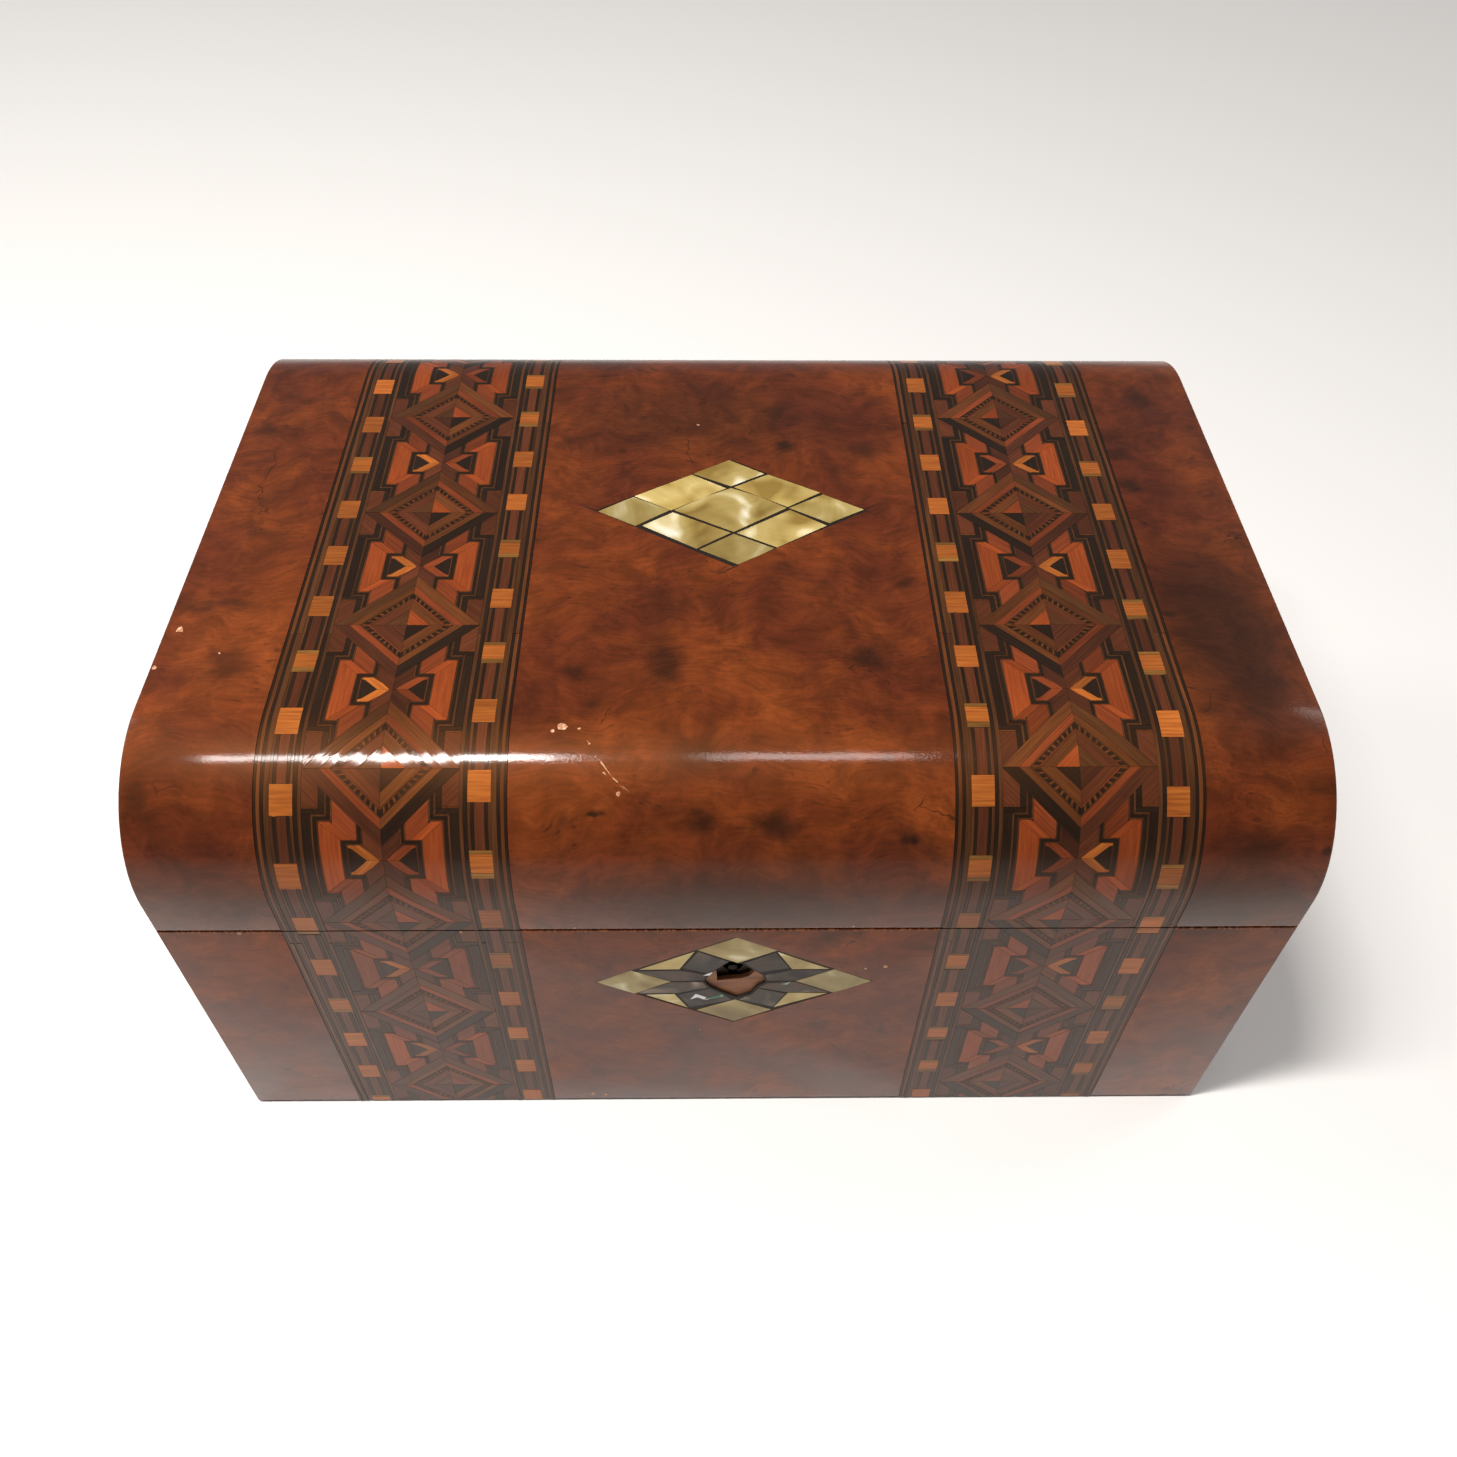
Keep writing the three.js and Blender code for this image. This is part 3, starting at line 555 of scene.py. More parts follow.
grit_bump = add(tree, "ShaderNodeBump", {
    "Height": figure["grit"], "Distance": mm(0.014), "Strength": 1.0, "Normal": ripple_bump,
})
for socket in ("Normal", "Coat Normal"):
    tree.links.new(grit_bump.outputs[0], shader.inputs[socket])

BAND_LOW, BAND_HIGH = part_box("lid_band_right")
BAND_CENTRE = (BAND_LOW[0] + BAND_HIGH[0]) / 2
BAND_HALF = (BAND_HIGH[0] - BAND_LOW[0]) / 2
JOINT = mm(0.05)
LEFT_FIELD = (-HALF_WIDTH, -BAND_CENTRE - BAND_HALF - 2 * JOINT)
CENTRE_FIELD = (-BAND_CENTRE + BAND_HALF + 2 * JOINT, BAND_CENTRE - BAND_HALF - 2 * JOINT)
RIGHT_FIELD = (BAND_CENTRE + BAND_HALF + 2 * JOINT, HALF_WIDTH)


def inlay_hole(node, axis, origin):
    """The lozenge-shaped hole, in (u, v), for the inlay that a CAD node marks."""
    low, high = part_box(node)
    u, v = (low[0] + high[0]) / 2, (low[axis] + high[axis]) / 2 + origin
    half_u, half_v = (high[0] - low[0]) / 2, (high[axis] - low[axis]) / 2
    return [(u - half_u, v), (u, v - half_v), (u + half_u, v), (u, v + half_v)]


TOP_ORIGIN = SPRING + BEND + HALF_DEPTH - SHOULDER  # v of the middle of the lid
lid_hole = inlay_hole("lid_pearl_lozenge", 1, TOP_ORIGIN)
key_hole = inlay_hole("keyhole_escutcheon", 2, -PARTING)

hinge_low, hinge_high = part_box("hinge_right_pin")
KNUCKLE_CLEAR = mm(2.3)
NOTCH_CLEAR = 0.3  # millimetres left free at each end of the knuckles


def knuckle_notch(side, run_end, way):
    """The notch for a hinge's knuckles in a sheet's edge; way is +1 where the sheet lies above it."""
    ends = hinge_low[0] - mm(NOTCH_CLEAR), hinge_high[0] + mm(NOTCH_CLEAR)
    near, far = sorted(side * end for end in ends)
    inner = GIRTH - way * KNUCKLE_CLEAR
    low, high = sorted((inner, run_end + way * mm(1)))
    return [(near, low), (far, low), (far, high), (near, high)]


# Each leaf: the CAD node it stands for, its body, width, run, holes, worn sides, origin.
LEAVES = (
    ("lid_burr_left", "lid", LEFT_FIELD, LID_RUN, (), (-HALF_WIDTH,), (0.0, 0.0)),
    ("lid_burr_centre", "lid", CENTRE_FIELD, LID_RUN, (lid_hole,), (), (0.0, 0.0)),
    ("lid_burr_right", "lid", RIGHT_FIELD, LID_RUN, (), (HALF_WIDTH,), (0.0, 0.0)),
    ("front_burr_left", "base", LEFT_FIELD, FRONT_RUN, (), (-HALF_WIDTH,), (0.0, 0.0)),
    ("front_burr_centre", "base", CENTRE_FIELD, FRONT_RUN, (key_hole,), (), (0.0, 0.0)),
    ("front_burr_right", "base", RIGHT_FIELD, FRONT_RUN, (), (HALF_WIDTH,), (0.0, 0.0)),
    (
        "base_back_veneer", "base", (-HALF_WIDTH, HALF_WIDTH), BACK_RUN,
        (knuckle_notch(-1, BACK_RUN[0], -1), knuckle_notch(1, BACK_RUN[0], -1)),
        (-HALF_WIDTH, HALF_WIDTH), (3.1, 0.0),
    ),
)
for node, body, across, run, holes, worn_sides, origin in LEAVES:
    leaf = veneer_leaf(node + "_leaf", across, run, holes, worn_sides, origin)
    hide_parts(node)
    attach(leaf, body)


def girth_points(depth, bottom, top=None):
    """The end outline in (Y, Z) at a depth below the veneer: the base's if top is given."""
    side = HALF_DEPTH - depth
    if top is not None:
        return [(-side, bottom), (side, bottom), (side, top), (-side, top)]
    points = [(-side, bottom), (side, bottom)]
    for centre, start in ((HALF_DEPTH - SHOULDER, 0.0), (SHOULDER - HALF_DEPTH, math.pi / 2)):
        for step in range(BEND_STEPS + 1):
            angle = start + math.pi / 2 * step / BEND_STEPS
            radius = SHOULDER - depth
            points.append((centre + radius * math.cos(angle), PARTING + SPRING + radius * math.sin(angle)))
    return points


def end_leaf(name, side, outline, start):
    """A flat leaf on one end of the box; start is where it lay across the burr."""
    bm = bmesh.new()
    face = bm.faces.new([bm.verts.new((side * HALF_WIDTH, y, z)) for y, z in outline])
    thicken(bm, [face], (-side * VENEER, 0, 0))
    uv = bm.loops.layers.uv.new("leaf")
    for loop in (loop for face in bm.faces for loop in face.loops):
        loop[uv].uv = (loop.vert.co.y + start, loop.vert.co.z - PARTING)
    return as_piece(name, bm, burr)


SKIN = VENEER + GLUE_LINE
for label, side, start in (("left", -1, 4.3), ("right", 1, 5.2)):
    lid_end = end_leaf(f"lid_{label}_end_leaf", side, girth_points(SKIN, LID_EDGE), start)
    base_outline = girth_points(SKIN, BASE_BOTTOM, BASE_TOP)
    base_end = end_leaf(f"base_{label}_end_leaf", side, base_outline, start)
    for piece, node, body in (
        (lid_end, f"lid_{label}_veneer", "lid"), (base_end, f"base_{label}_veneer", "base"),
    ):
        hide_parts(node)
        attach(piece, body)

# ---------------------------------------------------------------------------------------
# The parquetry bands: small tiles of many woods, glued edge to edge into strips 58 mm wide
# and laid before the lid was sawn off, so the pattern runs on across the parting line.

PERIOD = 43.7  # from diamond to diamond; sizes of tiles are in millimetres
FIRST_DIAMOND = 3.8  # the one nearest the parting line
DIAMOND = 18.2  # half its diagonal
PANEL = 18.0  # half the width of the middle panel
CLEAR = PERIOD / 2 - DIAMOND  # how far the diamonds stay from the middle of a star

INLAY_WOODS = {
    # name: darker and lighter tone of its grain
    "ebonised pear": ("0f0b08", "1d150e"),
    "rosewood": ("35180f", "4a2616"),
    "walnut": ("442012", "5a2d18"),
    "padauk": ("652a14", "7e3a1b"),
    "barberry": ("7a3214", "93441b"),
    "satinwood": ("8c481b", "b06427"),
    "olive": ("3b2010", "513017"),
    "tulipwood": ("4c2711", "653718"),
    "box": ("66431c", "875e2b"),
}
WOOD_NAMES = list(INLAY_WOODS)


def inlay_wood(name, dark, light):
    """A small-scale wood under the same polish; its grain follows the UV map of each tile."""
    material, tree, shader = new_finish("polished " + name, Roughness=0.5, **POLISH)
    grain_uv = add(tree, "ShaderNodeUVMap", uv_map="grain")
    lines = add(tree, "ShaderNodeMapping", {0: grain_uv, "Scale": (90, 1900, 1)})
    grain = add(tree, "ShaderNodeTexNoise", {"Vector": lines, "Scale": 1.0, "Detail": 3.0})
    colour = add(
        tree, "ShaderNodeValToRGB", {0: grain}, stops=((0.32, dark), (0.68, light)),
    )
    board = add(tree, "ShaderNodeTexNoise", {"Vector": grain_uv, "Scale": 17.0, "Detail": 0.0})
    board_tone = add(tree, "ShaderNodeMapRange", {0: board, 1: 0.3, 2: 0.7, 3: 0.56, 4: 1.04})
    varied = add(
        tree, "ShaderNodeVectorMath", {0: colour, "Scale": board_tone},
        operation="SCALE",
    )
    bump = add(tree, "ShaderNodeBump", {"Height": grain, "Distance": mm(0.014), "Strength": 1.0})
    tree.links.new(varied.outputs[0], shader.inputs["Base Color"])
    for socket in ("Normal", "Coat Normal"):
        tree.links.new(bump.outputs[0], shader.inputs[socket])
    return material


inlay_finishes = [inlay_wood(name, *tones) for name, tones in INLAY_WOODS.items()]

# The ground under the tiles: hide glue mixed with lampblack, which fills every joint.
mastic, tree, shader = new_finish("black glue mastic", Roughness=0.6, Specular_IOR_Level=0.25)
place = add(tree, "ShaderNodeTexCoord")
lumps = add(tree, "ShaderNodeTexNoise", {"Vector": place.outputs["Object"], "Scale": 900.0})
dark = add(tree, "ShaderNodeValToRGB", {0: lumps}, stops=((0.3, "0f0a07"), (0.7, "24170e")))
tree.links.new(dark.outputs[0], shader.inputs["Base Color"])


def clip(points, normal, limit):
    """The part of a polygon where normal . point <= limit."""
    kept = []
    for (ax, ay), (bx, by) in zip(points, points[1:] + points[:1]):
        a = normal[0] * ax + normal[1] * ay - limit
        b = normal[0] * bx + normal[1] * by - limit
        if a <= 0:
            kept.append((ax, ay))
        if (a < 0 < b) or (b < 0 < a):
            share = a / (a - b)
            kept.append((ax + (bx - ax) * share, ay + (by - ay) * share))
    return kept


def area(points):
    pairs = zip(points, points[1:] + points[:1])
    return sum(ax * by - bx * ay for (ax, ay), (bx, by) in pairs) / 2


def inset(points, margin):
    """A polygon drawn in by a margin, with mitred corners; it must run anticlockwise."""
    drawn = []
    count = len(points)
    for index, here in enumerate(points):
        before, after = Vector(points[index - 1]), Vector(points[(index + 1) % count])
        first = (Vector(here) - before).normalized()
        second = (after - Vector(here)).normalized()
        normal_a, normal_b = Vector((-first.y, first.x)), Vector((-second.y, second.x))
        mitre = (normal_a + normal_b) / max(1 + normal_a.dot(normal_b), 0.2)
        drawn.append(tuple(Vector(here) + mitre * margin))
    return drawn


def rectangle(u0, u1, v0, v1):
    return [(u0, v0), (u1, v0), (u1, v1), (u0, v1)]


def diamond_tiles(side):
    """One diamond about (0, 0): mitred frames, a dotted string and four triangles inside."""
    tiles = []
    frames = (
        # outer and inner half-diagonal, then the wood of each quarter, from the top left
        (18.2, 14.2, ("olive", "tulipwood", "rosewood", "ebonised pear")),
        (14.2, 11.7, ("tulipwood", "padauk", "padauk", "tulipwood")),
        (11.7, 11.3, ("olive", "olive", "olive", "olive")),
        (9.7, 9.3, ("tulipwood", "padauk", "padauk", "tulipwood")),
        (9.3, 5.6, ("walnut", "tulipwood", "walnut", "tulipwood")),
    )
    quarters = ((-1, 1), (1, 1), (-1, -1), (1, -1))
    heart = ("olive", "barberry", "rosewood", "ebonised pear")
    dots = 9
    for index, (su, sv) in enumerate(quarters):
        su *= side
        angle = math.atan2(-sv, su)
        for outer, inner, woods in frames:
            ring = [(su * outer, 0), (0, sv * outer), (0, sv * inner), (su * inner, 0)]
            tiles.append((woods[index], ring, angle))
        tiles.append((heart[index], [(0, 0), (su * 5.6, 0), (0, sv * 5.6)], angle))
        for dot in range(dots):
            near, middle, far = dot / dots, (dot + 0.4) / dots, (dot + 1) / dots
            for wood_name, start, end in (("tulipwood", near, middle), ("ebonised pear", middle, far)):
                corners = ((11.3, start), (11.3, end), (9.7, end), (9.7, start))
                block = [(su * r * (1 - t), sv * r * t) for r, t in corners]
                tiles.append((wood_name, block, angle))
    return tiles


PAST = 22  # beyond the slanting edge that trims the upper pieces of a star


def star_tiles(side):
    """Both halves of the star about (0, 0) that fills the gap between two diamonds."""
    tiles = []
    for way in (side, -side):
        hearts, leaves = ("rosewood", "padauk") if way == side else ("walnut", "satinwood")
        tall = [
            # pieces that reach above and below the middle line
            ("ebonised pear", rectangle(15.9, PANEL, -11.3, 11.3)),
            ("olive", rectangle(15.4, 15.9, -10.8, 10.8)),
            ("ebonised pear", rectangle(14.6, 15.4, -10.0, 10.0)),
            ("olive", rectangle(14.2, 14.6, -9.6, 9.6)),
            ("barberry", [(9.4, -5.2), (14.2, -9.6), (14.2, 9.6), (9.4, 5.2)]),
            ("olive", rectangle(9.1, 9.4, -4.9, 4.9)),
            ("ebonised pear", rectangle(8.2, 9.1, -4.6, 4.6)),
            ("olive", rectangle(7.8, 8.2, -3.9, 3.9)),
            ("ebonised pear", [(3.7, 0), (7.0, -3.0), (7.8, -3.3), (7.8, 3.3), (7.0, 3.0)]),
        ]
        half = [
            # pieces above the middle line, each with a twin below
            ("ebonised pear", rectangle(12.7, PANEL, 11.3, 12.6)),
            ("ebonised pear", rectangle(12.7, 14.1, 12.6, PAST)),
            ("tulipwood", rectangle(14.1, PANEL, 12.6, 13.0)),
            ("walnut", rectangle(14.1, PANEL, 13.0, PAST)),
            ("olive", rectangle(12.2, 15.9, 10.8, 11.3)),
            ("olive", rectangle(12.2, 12.7, 11.3, PAST)),
            ("ebonised pear", rectangle(11.4, 15.4, 10.0, 10.8)),
            ("ebonised pear", rectangle(11.4, 12.2, 10.8, PAST)),
            ("olive", rectangle(11.0, 14.6, 9.6, 10.0)),
            ("olive", rectangle(11.0, 11.4, 10.0, PAST)),
            ("barberry", [(6.8, 5.2), (9.4, 5.2), (14.2, 9.6), (11.6, 9.6)]),
            ("padauk", [(5.6, 5.2), (6.8, 5.2), (11.0, 9.05), (11.0, PAST), (5.6, PAST)]),
            ("olive", rectangle(5.3, 9.4, 4.9, 5.2)),
            ("olive", rectangle(5.3, 5.6, 5.2, PAST)),
            ("ebonised pear", rectangle(4.6, 9.1, 4.2, 4.9)),
            ("ebonised pear", rectangle(4.6, 5.3, 4.9, PAST)),
            ("olive", rectangle(4.25, 8.2, 3.9, 4.2)),
            ("olive", rectangle(4.25, 4.6, 4.2, PAST)),
            (leaves, [(0.7, 0), (3.7, 0), (7.0, 3.0), (7.8, 3.3), (7.8, 3.9), (5.2, 3.9), (2.6, 1.9)]),
            (hearts, [
                (0, 0), (0.7, 0), (2.6, 1.9), (5.2, 3.9), (4.25, 3.9),
                (4.25, 4.25 + CLEAR), (0, CLEAR),
            ]),
        ]
        for wood_name, outline in tall:
            tiles.append((wood_name, [(way * u, v) for u, v in outline], math.pi / 2))
        for wood_name, outline in half:
            trimmed = clip(outline, (-1, 1), CLEAR)
            for flip in (1, -1):
                shape = [(way * u, flip * v) for u, v in trimmed]
                tiles.append((wood_name, shape, math.pi / 4 * way * flip))
    return tiles


BEAD_PITCH = 19.2
BEAD_HALF = 3.7
BEAD_STRAY = 0.3  # how far a bead's ends lie from their marks
STRING_RUN = 88.0  # strings are pieced from sticks about this long


def border_tiles(column, first_bead, v_low, v_high, chance):
    """The strings and the bead strip along one edge of a band."""
    tiles = []
    strings = (
        ("olive", 18.0, 18.9), ("ebonised pear", 18.9, 19.9), ("olive", 25.3, 26.6),
        ("ebonised pear", 26.6, 27.4), ("tulipwood", 27.4, 28.3), ("ebonised pear", 28.3, 28.95),
    )
    sticks = (
        ("olive", 19.9, 20.6), ("ebonised pear", 20.6, 21.4), ("walnut", 21.4, 23.8),
        ("ebonised pear", 23.8, 24.6), ("olive", 24.6, 25.3),
    )
    start = v_low
    while start < v_high:
        for wood_name, near, far in strings:
            tiles.append((wood_name, rectangle(near, far, start, start + STRING_RUN), math.pi / 2))
        start += STRING_RUN
    bead = first_bead - BEAD_PITCH * math.ceil((first_bead - v_low) / BEAD_PITCH)
    while bead < v_high + BEAD_PITCH:
        low = bead - BEAD_HALF + chance.uniform(-BEAD_STRAY, BEAD_STRAY)
        high = bead + BEAD_HALF + chance.uniform(-BEAD_STRAY, BEAD_STRAY)
        next_low = bead + BEAD_PITCH - BEAD_HALF
        lip = chance.choice((0.0, 0.0, 1.1, 1.5))
        if lip:
            tiles.append(("box", rectangle(19.9, 25.3, low, low + lip), 0.0))
            tiles.append(("box", rectangle(19.9, 25.3, high - lip * 0.7, high), 0.0))
        tiles.append(("satinwood", rectangle(19.9, 25.3, low + lip, high - lip * 0.7), 0.0))
        for wood_name, near, far in sticks:
            tiles.append((wood_name, rectangle(near, far, high, next_low), math.pi / 2))
        bead += BEAD_PITCH
    return [
        (wood_name, [(column * u, v) for u, v in outline], angle)
        for wood_name, outline, angle in tiles
    ]


TILE_THICK = 0.55
TILE_GAP = 0.035
TILE_TILT = 0.0022
GROUND_DROP = 0.12  # how far the mastic lies below the tiles of a band
SMALLEST_TILE = 0.12  # square millimetres: less than this is lost in the glue


def prism(bm, top, bottom, finish_index):
    """Closes two rings of vertices into a solid in one finish, and returns its faces."""
    faces = [bm.faces.new(top), bm.faces.new(bottom[::-1])]
    for index in range(len(top)):
        after = (index + 1) % len(top)
        faces.append(bm.faces.new((top[index], bottom[index], bottom[after], top[after])))
    for face in faces:
        face.material_index = finish_index
    return faces


def lay_tile(bm, wood_index, outline, angle, chance, uv, relief=0.012):
    """A tile as a closed prism, a hair proud or shy of its neighbours and tilted a little."""
    points = outline if area(outline) > 0 else outline[::-1]
    points = inset(points, TILE_GAP)
    middle = sum((Vector(p) for p in points), Vector((0, 0))) / len(points)
    height = chance.uniform(-relief, relief)
    tilt = Vector((chance.uniform(-1, 1), chance.uniform(-1, 1))) * TILE_TILT
    shift = Vector((chance.uniform(0, 9), chance.uniform(0, 9)))
    along = Vector((math.cos(angle), math.sin(angle)))
    cross = Vector((-along.y, along.x))
    top = [bm.verts.new((*p, height + tilt.dot(Vector(p) - middle) - relief)) for p in points]
    bottom = [bm.verts.new((*p, -TILE_THICK)) for p in points]
    for face in prism(bm, top, bottom, wood_index):
        for loop in face.loops:
            flat = Vector(loop.vert.co.xy)
            loop[uv].uv = (flat.dot(along) * 0.001 + shift.x, flat.dot(cross) * 0.001 + shift.y)


def band_piece(name, centre, side, run, notches, chance, first_beads):
    """One band over one body: tiles clipped to its run and round its hinge notch, on mastic."""
    low, high = run[0] * 1000, run[1] * 1000
    tiles = []
    first = math.floor((low - FIRST_DIAMOND) / PERIOD) - 1
    last = math.ceil((high - FIRST_DIAMOND) / PERIOD)
    for index in range(first, last + 1):
        v = FIRST_DIAMOND + PERIOD * index
        for wood_name, outline, angle in diamond_tiles(side):
            tiles.append((wood_name, [(u, w + v) for u, w in outline], angle))
        for wood_name, outline, angle in star_tiles(side):
            tiles.append((wood_name, [(u, w + v + PERIOD / 2) for u, w in outline], angle))
    for column, first_bead in zip((-1, 1), first_beads):
        tiles += border_tiles(column, first_bead, low, high, chance)
    bm = bmesh.new()
    uv = bm.loops.layers.uv.new("grain")
    for wood_name, outline, angle in tiles:
        shape = clip(clip(outline, (0, 1), high), (0, -1), -low)
        parts = [shape]
        for near, far, line in notches:
            parts = [
                piece for part in parts for piece in (
                    clip(part, (0, 1), line),
                    clip(clip(part, (0, -1), -line), (1, 0), near),
                    clip(clip(part, (0, -1), -line), (-1, 0), -far),
                ) if len(piece) > 2
            ]
        for part in parts:
            if len(part) > 2 and abs(area(part)) > SMALLEST_TILE:
                lay_tile(bm, WOOD_NAMES.index(wood_name), part, angle, chance, uv)
    ground = [rectangle(-BAND_HALF * 1000, BAND_HALF * 1000, low, high)]
    for near, far, line in notches:
        left, right_side = ground[0][0][0], ground[0][1][0]
        ground = [
            rectangle(left, right_side, low, line), rectangle(left, near, line, high),
            rectangle(far, right_side, line, high),
        ]
    for outline in ground:
        top = [bm.verts.new((u, v, -GROUND_DROP)) for u, v in outline]
        bottom = [bm.verts.new((u, v, -VENEER * 1000)) for u, v in outline]
        prism(bm, top, bottom, len(WOOD_NAMES))
    bmesh.ops.scale(bm, vec=(0.001, 0.001, 0.001), verts=bm.verts)
    bmesh.ops.translate(bm, vec=(centre, 0, 0), verts=bm.verts)
    score(bm, bend_lines(run))
    return bend(name, bm, woods=inlay_finishes + [mastic])


for label, side, seed, beads in (("left", -1, 11, (98.0, 101.0)), ("right", 1, 12, (99.5, 97.0))):
    chance = random.Random(seed)
    pin_low, pin_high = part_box(f"hinge_{label}_pin")
    centre = side * BAND_CENTRE
    notch = (
        (pin_low[0] - centre) * 1000 - NOTCH_CLEAR, (pin_high[0] - centre) * 1000 + NOTCH_CLEAR,
        (GIRTH - KNUCKLE_CLEAR) * 1000,
    )
    over_lid = band_piece(f"lid_band_{label}_tiles", centre, -side, LID_RUN, [notch], chance, beads)
    up_front = band_piece(f"front_band_{label}_tiles", centre, -side, FRONT_RUN, [], chance, beads)
    for piece, node, body in (
        (over_lid, f"lid_band_{label}", "lid"), (up_front, f"front_band_{label}", "base"),
    ):
        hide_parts(node)
        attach(piece, body)

# ---------------------------------------------------------------------------------------
# The lozenge in the lid: nine slips of mother-of-pearl, sawn by hand and bedded in black
# mastic, so the joints are wide and uneven. Knife cuts run past three of its corners.

PEARL_SLIPS = (
    # corners of each slip, anticlockwise from the left: across and along the girth, mm
    ((-9.5, 152), (1, 146.5), (10.2, 152), (0.5, 158.2)),
    ((-25.5, 142), (-15.5, 136), (-0.5, 145.5), (-10, 151.5)),
    ((-35.2, 135.5), (-25, 129.5), (-16, 136), (-26, 141.6)),
    ((2, 146), (16.5, 137.5), (25.5, 143.6), (11.5, 151.6)),
    ((17, 137), (27.5, 130.7), (37.2, 136.4), (26.5, 142.8)),
    ((-14.5, 136), (1.5, 127), (16, 137), (8.5, 141.9), (1, 145.5), (-7, 141.2)),
    ((-23, 129.5), (-8.5, 120.2), (0.5, 126.5), (-15, 135)),
    ((2.5, 126.5), (13, 120.7), (26.5, 129.5), (17, 136)),
    ((-7.5, 119.8), (2.8, 113.7), (12, 120.2), (1.5, 126)),
)


def pearl_finish(name, tones, ripple_size, polish):
    """Polished shell: patches 5 to 12 mm wide whose pale tones paint the shell's sheen as colour, over fine
    growth lines.
    """
    material, tree, shader = new_finish(
        name, Roughness=0.4, Coat_Weight=polish, Coat_Roughness=0.12, Coat_IOR=1.4,
        Specular_IOR_Level=0.2,
    )
    slip = add(tree, "ShaderNodeUVMap", uv_map="grain")
    sheen_and_ripple = add(tree, "ShaderNodeTexNoise", {
        "Vector": slip, "Scale": 90.0, "Detail": 1.5, "Distortion": 0.6,
    })
    tone = add(tree, "ShaderNodeValToRGB", {0: sheen_and_ripple}, stops=tones)
    comb = add(tree, "ShaderNodeMapping", {0: slip, "Scale": (120, 700, 1)})
    lines = add(tree, "ShaderNodeTexNoise", {"Vector": comb, "Scale": 1.0, "Detail": 2.0})
    slip_tone = add(tree, "ShaderNodeTexNoise", {"Vector": slip, "Scale": 14.0, "Detail": 0.0})
    shade = add(tree, "ShaderNodeMapRange", {0: slip_tone, 1: 0.35, 2: 0.65, 3: 0.62, 4: 1.15})
    fine = add(tree, "ShaderNodeMapRange", {0: lines, 1: 0.3, 2: 0.7, 3: 0.94, 4: 1.05})
    both = add(tree, "ShaderNodeMath", {0: shade, 1: fine}, operation="MULTIPLY")
    lined = add(tree, "ShaderNodeVectorMath", {0: tone, "Scale": both}, operation="SCALE")
    bump = add(tree, "ShaderNodeBump", {
        "Height": sheen_and_ripple, "Distance": mm(ripple_size), "Strength": 1.0,
    })
    tree.links.new(lined.outputs[0], shader.inputs["Base Color"])
    tree.links.new(bump.outputs[0], shader.inputs["Normal"])
    return material


# Mother-of-pearl yellowed by polish, its palest patches painted near white as its sheen, and the grey,
# green-tinged abalone beside it.
mother_of_pearl = pearl_finish(
    "yellowed mother of pearl",
    ((0.30, "83692f"), (0.45, "a18a4c"), (0.58, "b39e62"), (0.66, "d8cba0"), (0.74, "f4efdc")),
    0.12, 0.5,
)
abalone = pearl_finish(
    "polished abalone",
    ((0.30, "2a1d15"), (0.42, "4a382b"), (0.52, "3b362b"), (0.62, "5f4f42"), (0.76, "8f8071")),
    0.18, 0.12,
)

# Flakes of nacre on the abalone, painted nearly white with a green tinge: painted glints and a painted green
# sheen of the shell.
glint_flake = pearl_finish(
    "nacre flakes painted as glints", ((0.35, "3f6a4c"), (0.45, "8fb096"), (0.5, "dfe3d8"), (0.6, "ffffff")), 0.1, 0.3,
)

SLIP_SPREAD = 0.12  # how far each slip is drawn out, so that its joints stay thin
BED_DROP = 0.10  # how far the mastic lies below the slips
INLAY_THICK = 0.8


def inlay(name, outline, hole, slips, chance, extras, extra_index=0):
    """Slips bedded in mastic in a sawn recess: outline and hole bound the mastic."""
    bm = bmesh.new()
    uv = bm.loops.layers.uv.new("grain")
    rings = []
    for ring in (outline, hole):
        verts = [bm.verts.new((*p, -BED_DROP)) for p in ring]
        rings += [bm.edges.new((verts[i - 1], verts[i])) for i in range(len(verts))]
    bed = bmesh.ops.triangle_fill(bm, edges=rings, use_beauty=True, use_dissolve=False)
    faces = [item for item in bed["geom"] if isinstance(item, bmesh.types.BMFace)]
    bmesh.ops.recalc_face_normals(bm, faces=faces)
    if faces[0].normal.z < 0:
        bmesh.ops.reverse_faces(bm, faces=faces)
    thicken(bm, faces, (0, 0, BED_DROP - INLAY_THICK))
    for wood_index, points in slips:
        fitted = inset(list(points), -SLIP_SPREAD)
        lay_tile(bm, wood_index, fitted, chance.uniform(0, 3), chance, uv, relief=0.02)
    for points in extras:
        lay_tile(bm, extra_index, list(points), 0.0, chance, uv, relief=-0.02)
    bmesh.ops.scale(bm, vec=(0.001, 0.001, 0.001), verts=bm.verts)
    return bend(name, bm, woods=[mastic, mother_of_pearl, abalone, glint_flake])


CUT_END = 0.2  # how wide a knife cut ends, as a share of how wide it starts


def knife_cut(start, end, width):
    """A thin sliver that narrows from start to end."""
    start, end = Vector(start), Vector(end)
    way = (end - start).normalized()
    side = Vector((-way.y, way.x)) * width / 2
    corners = (start - side, end - side * CUT_END, end + side * CUT_END, start + side)
    return [tuple(corner) for corner in corners]


def in_millimetres(points, margin):
    """An outline in metres, as millimetres, drawn in by a margin."""
    return inset([(u * 1000, v * 1000) for u, v in points], margin)


chance = random.Random(21)
cuts = [
    knife_cut((-35.8, 135.7), (-41.0, 138.6), 0.7), knife_cut((37.6, 136.3), (42.0, 139.0), 0.6),
    knife_cut((2.6, 113.6), (-3.0, 109.8), 0.6), knife_cut((37.4, 136.0), (41.0, 133.6), 0.4),
]
slips = [(1, slip) for slip in PEARL_SLIPS]
lozenge = inlay(
    "lid_pearl_slips", in_millimetres(lid_hole, 0.03), [(0.6, 136.6), (0.9, 136.6), (0.75, 136.9)],
    slips, chance, cuts,
)
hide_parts("lid_pearl_lozenge")
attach(lozenge, "lid")

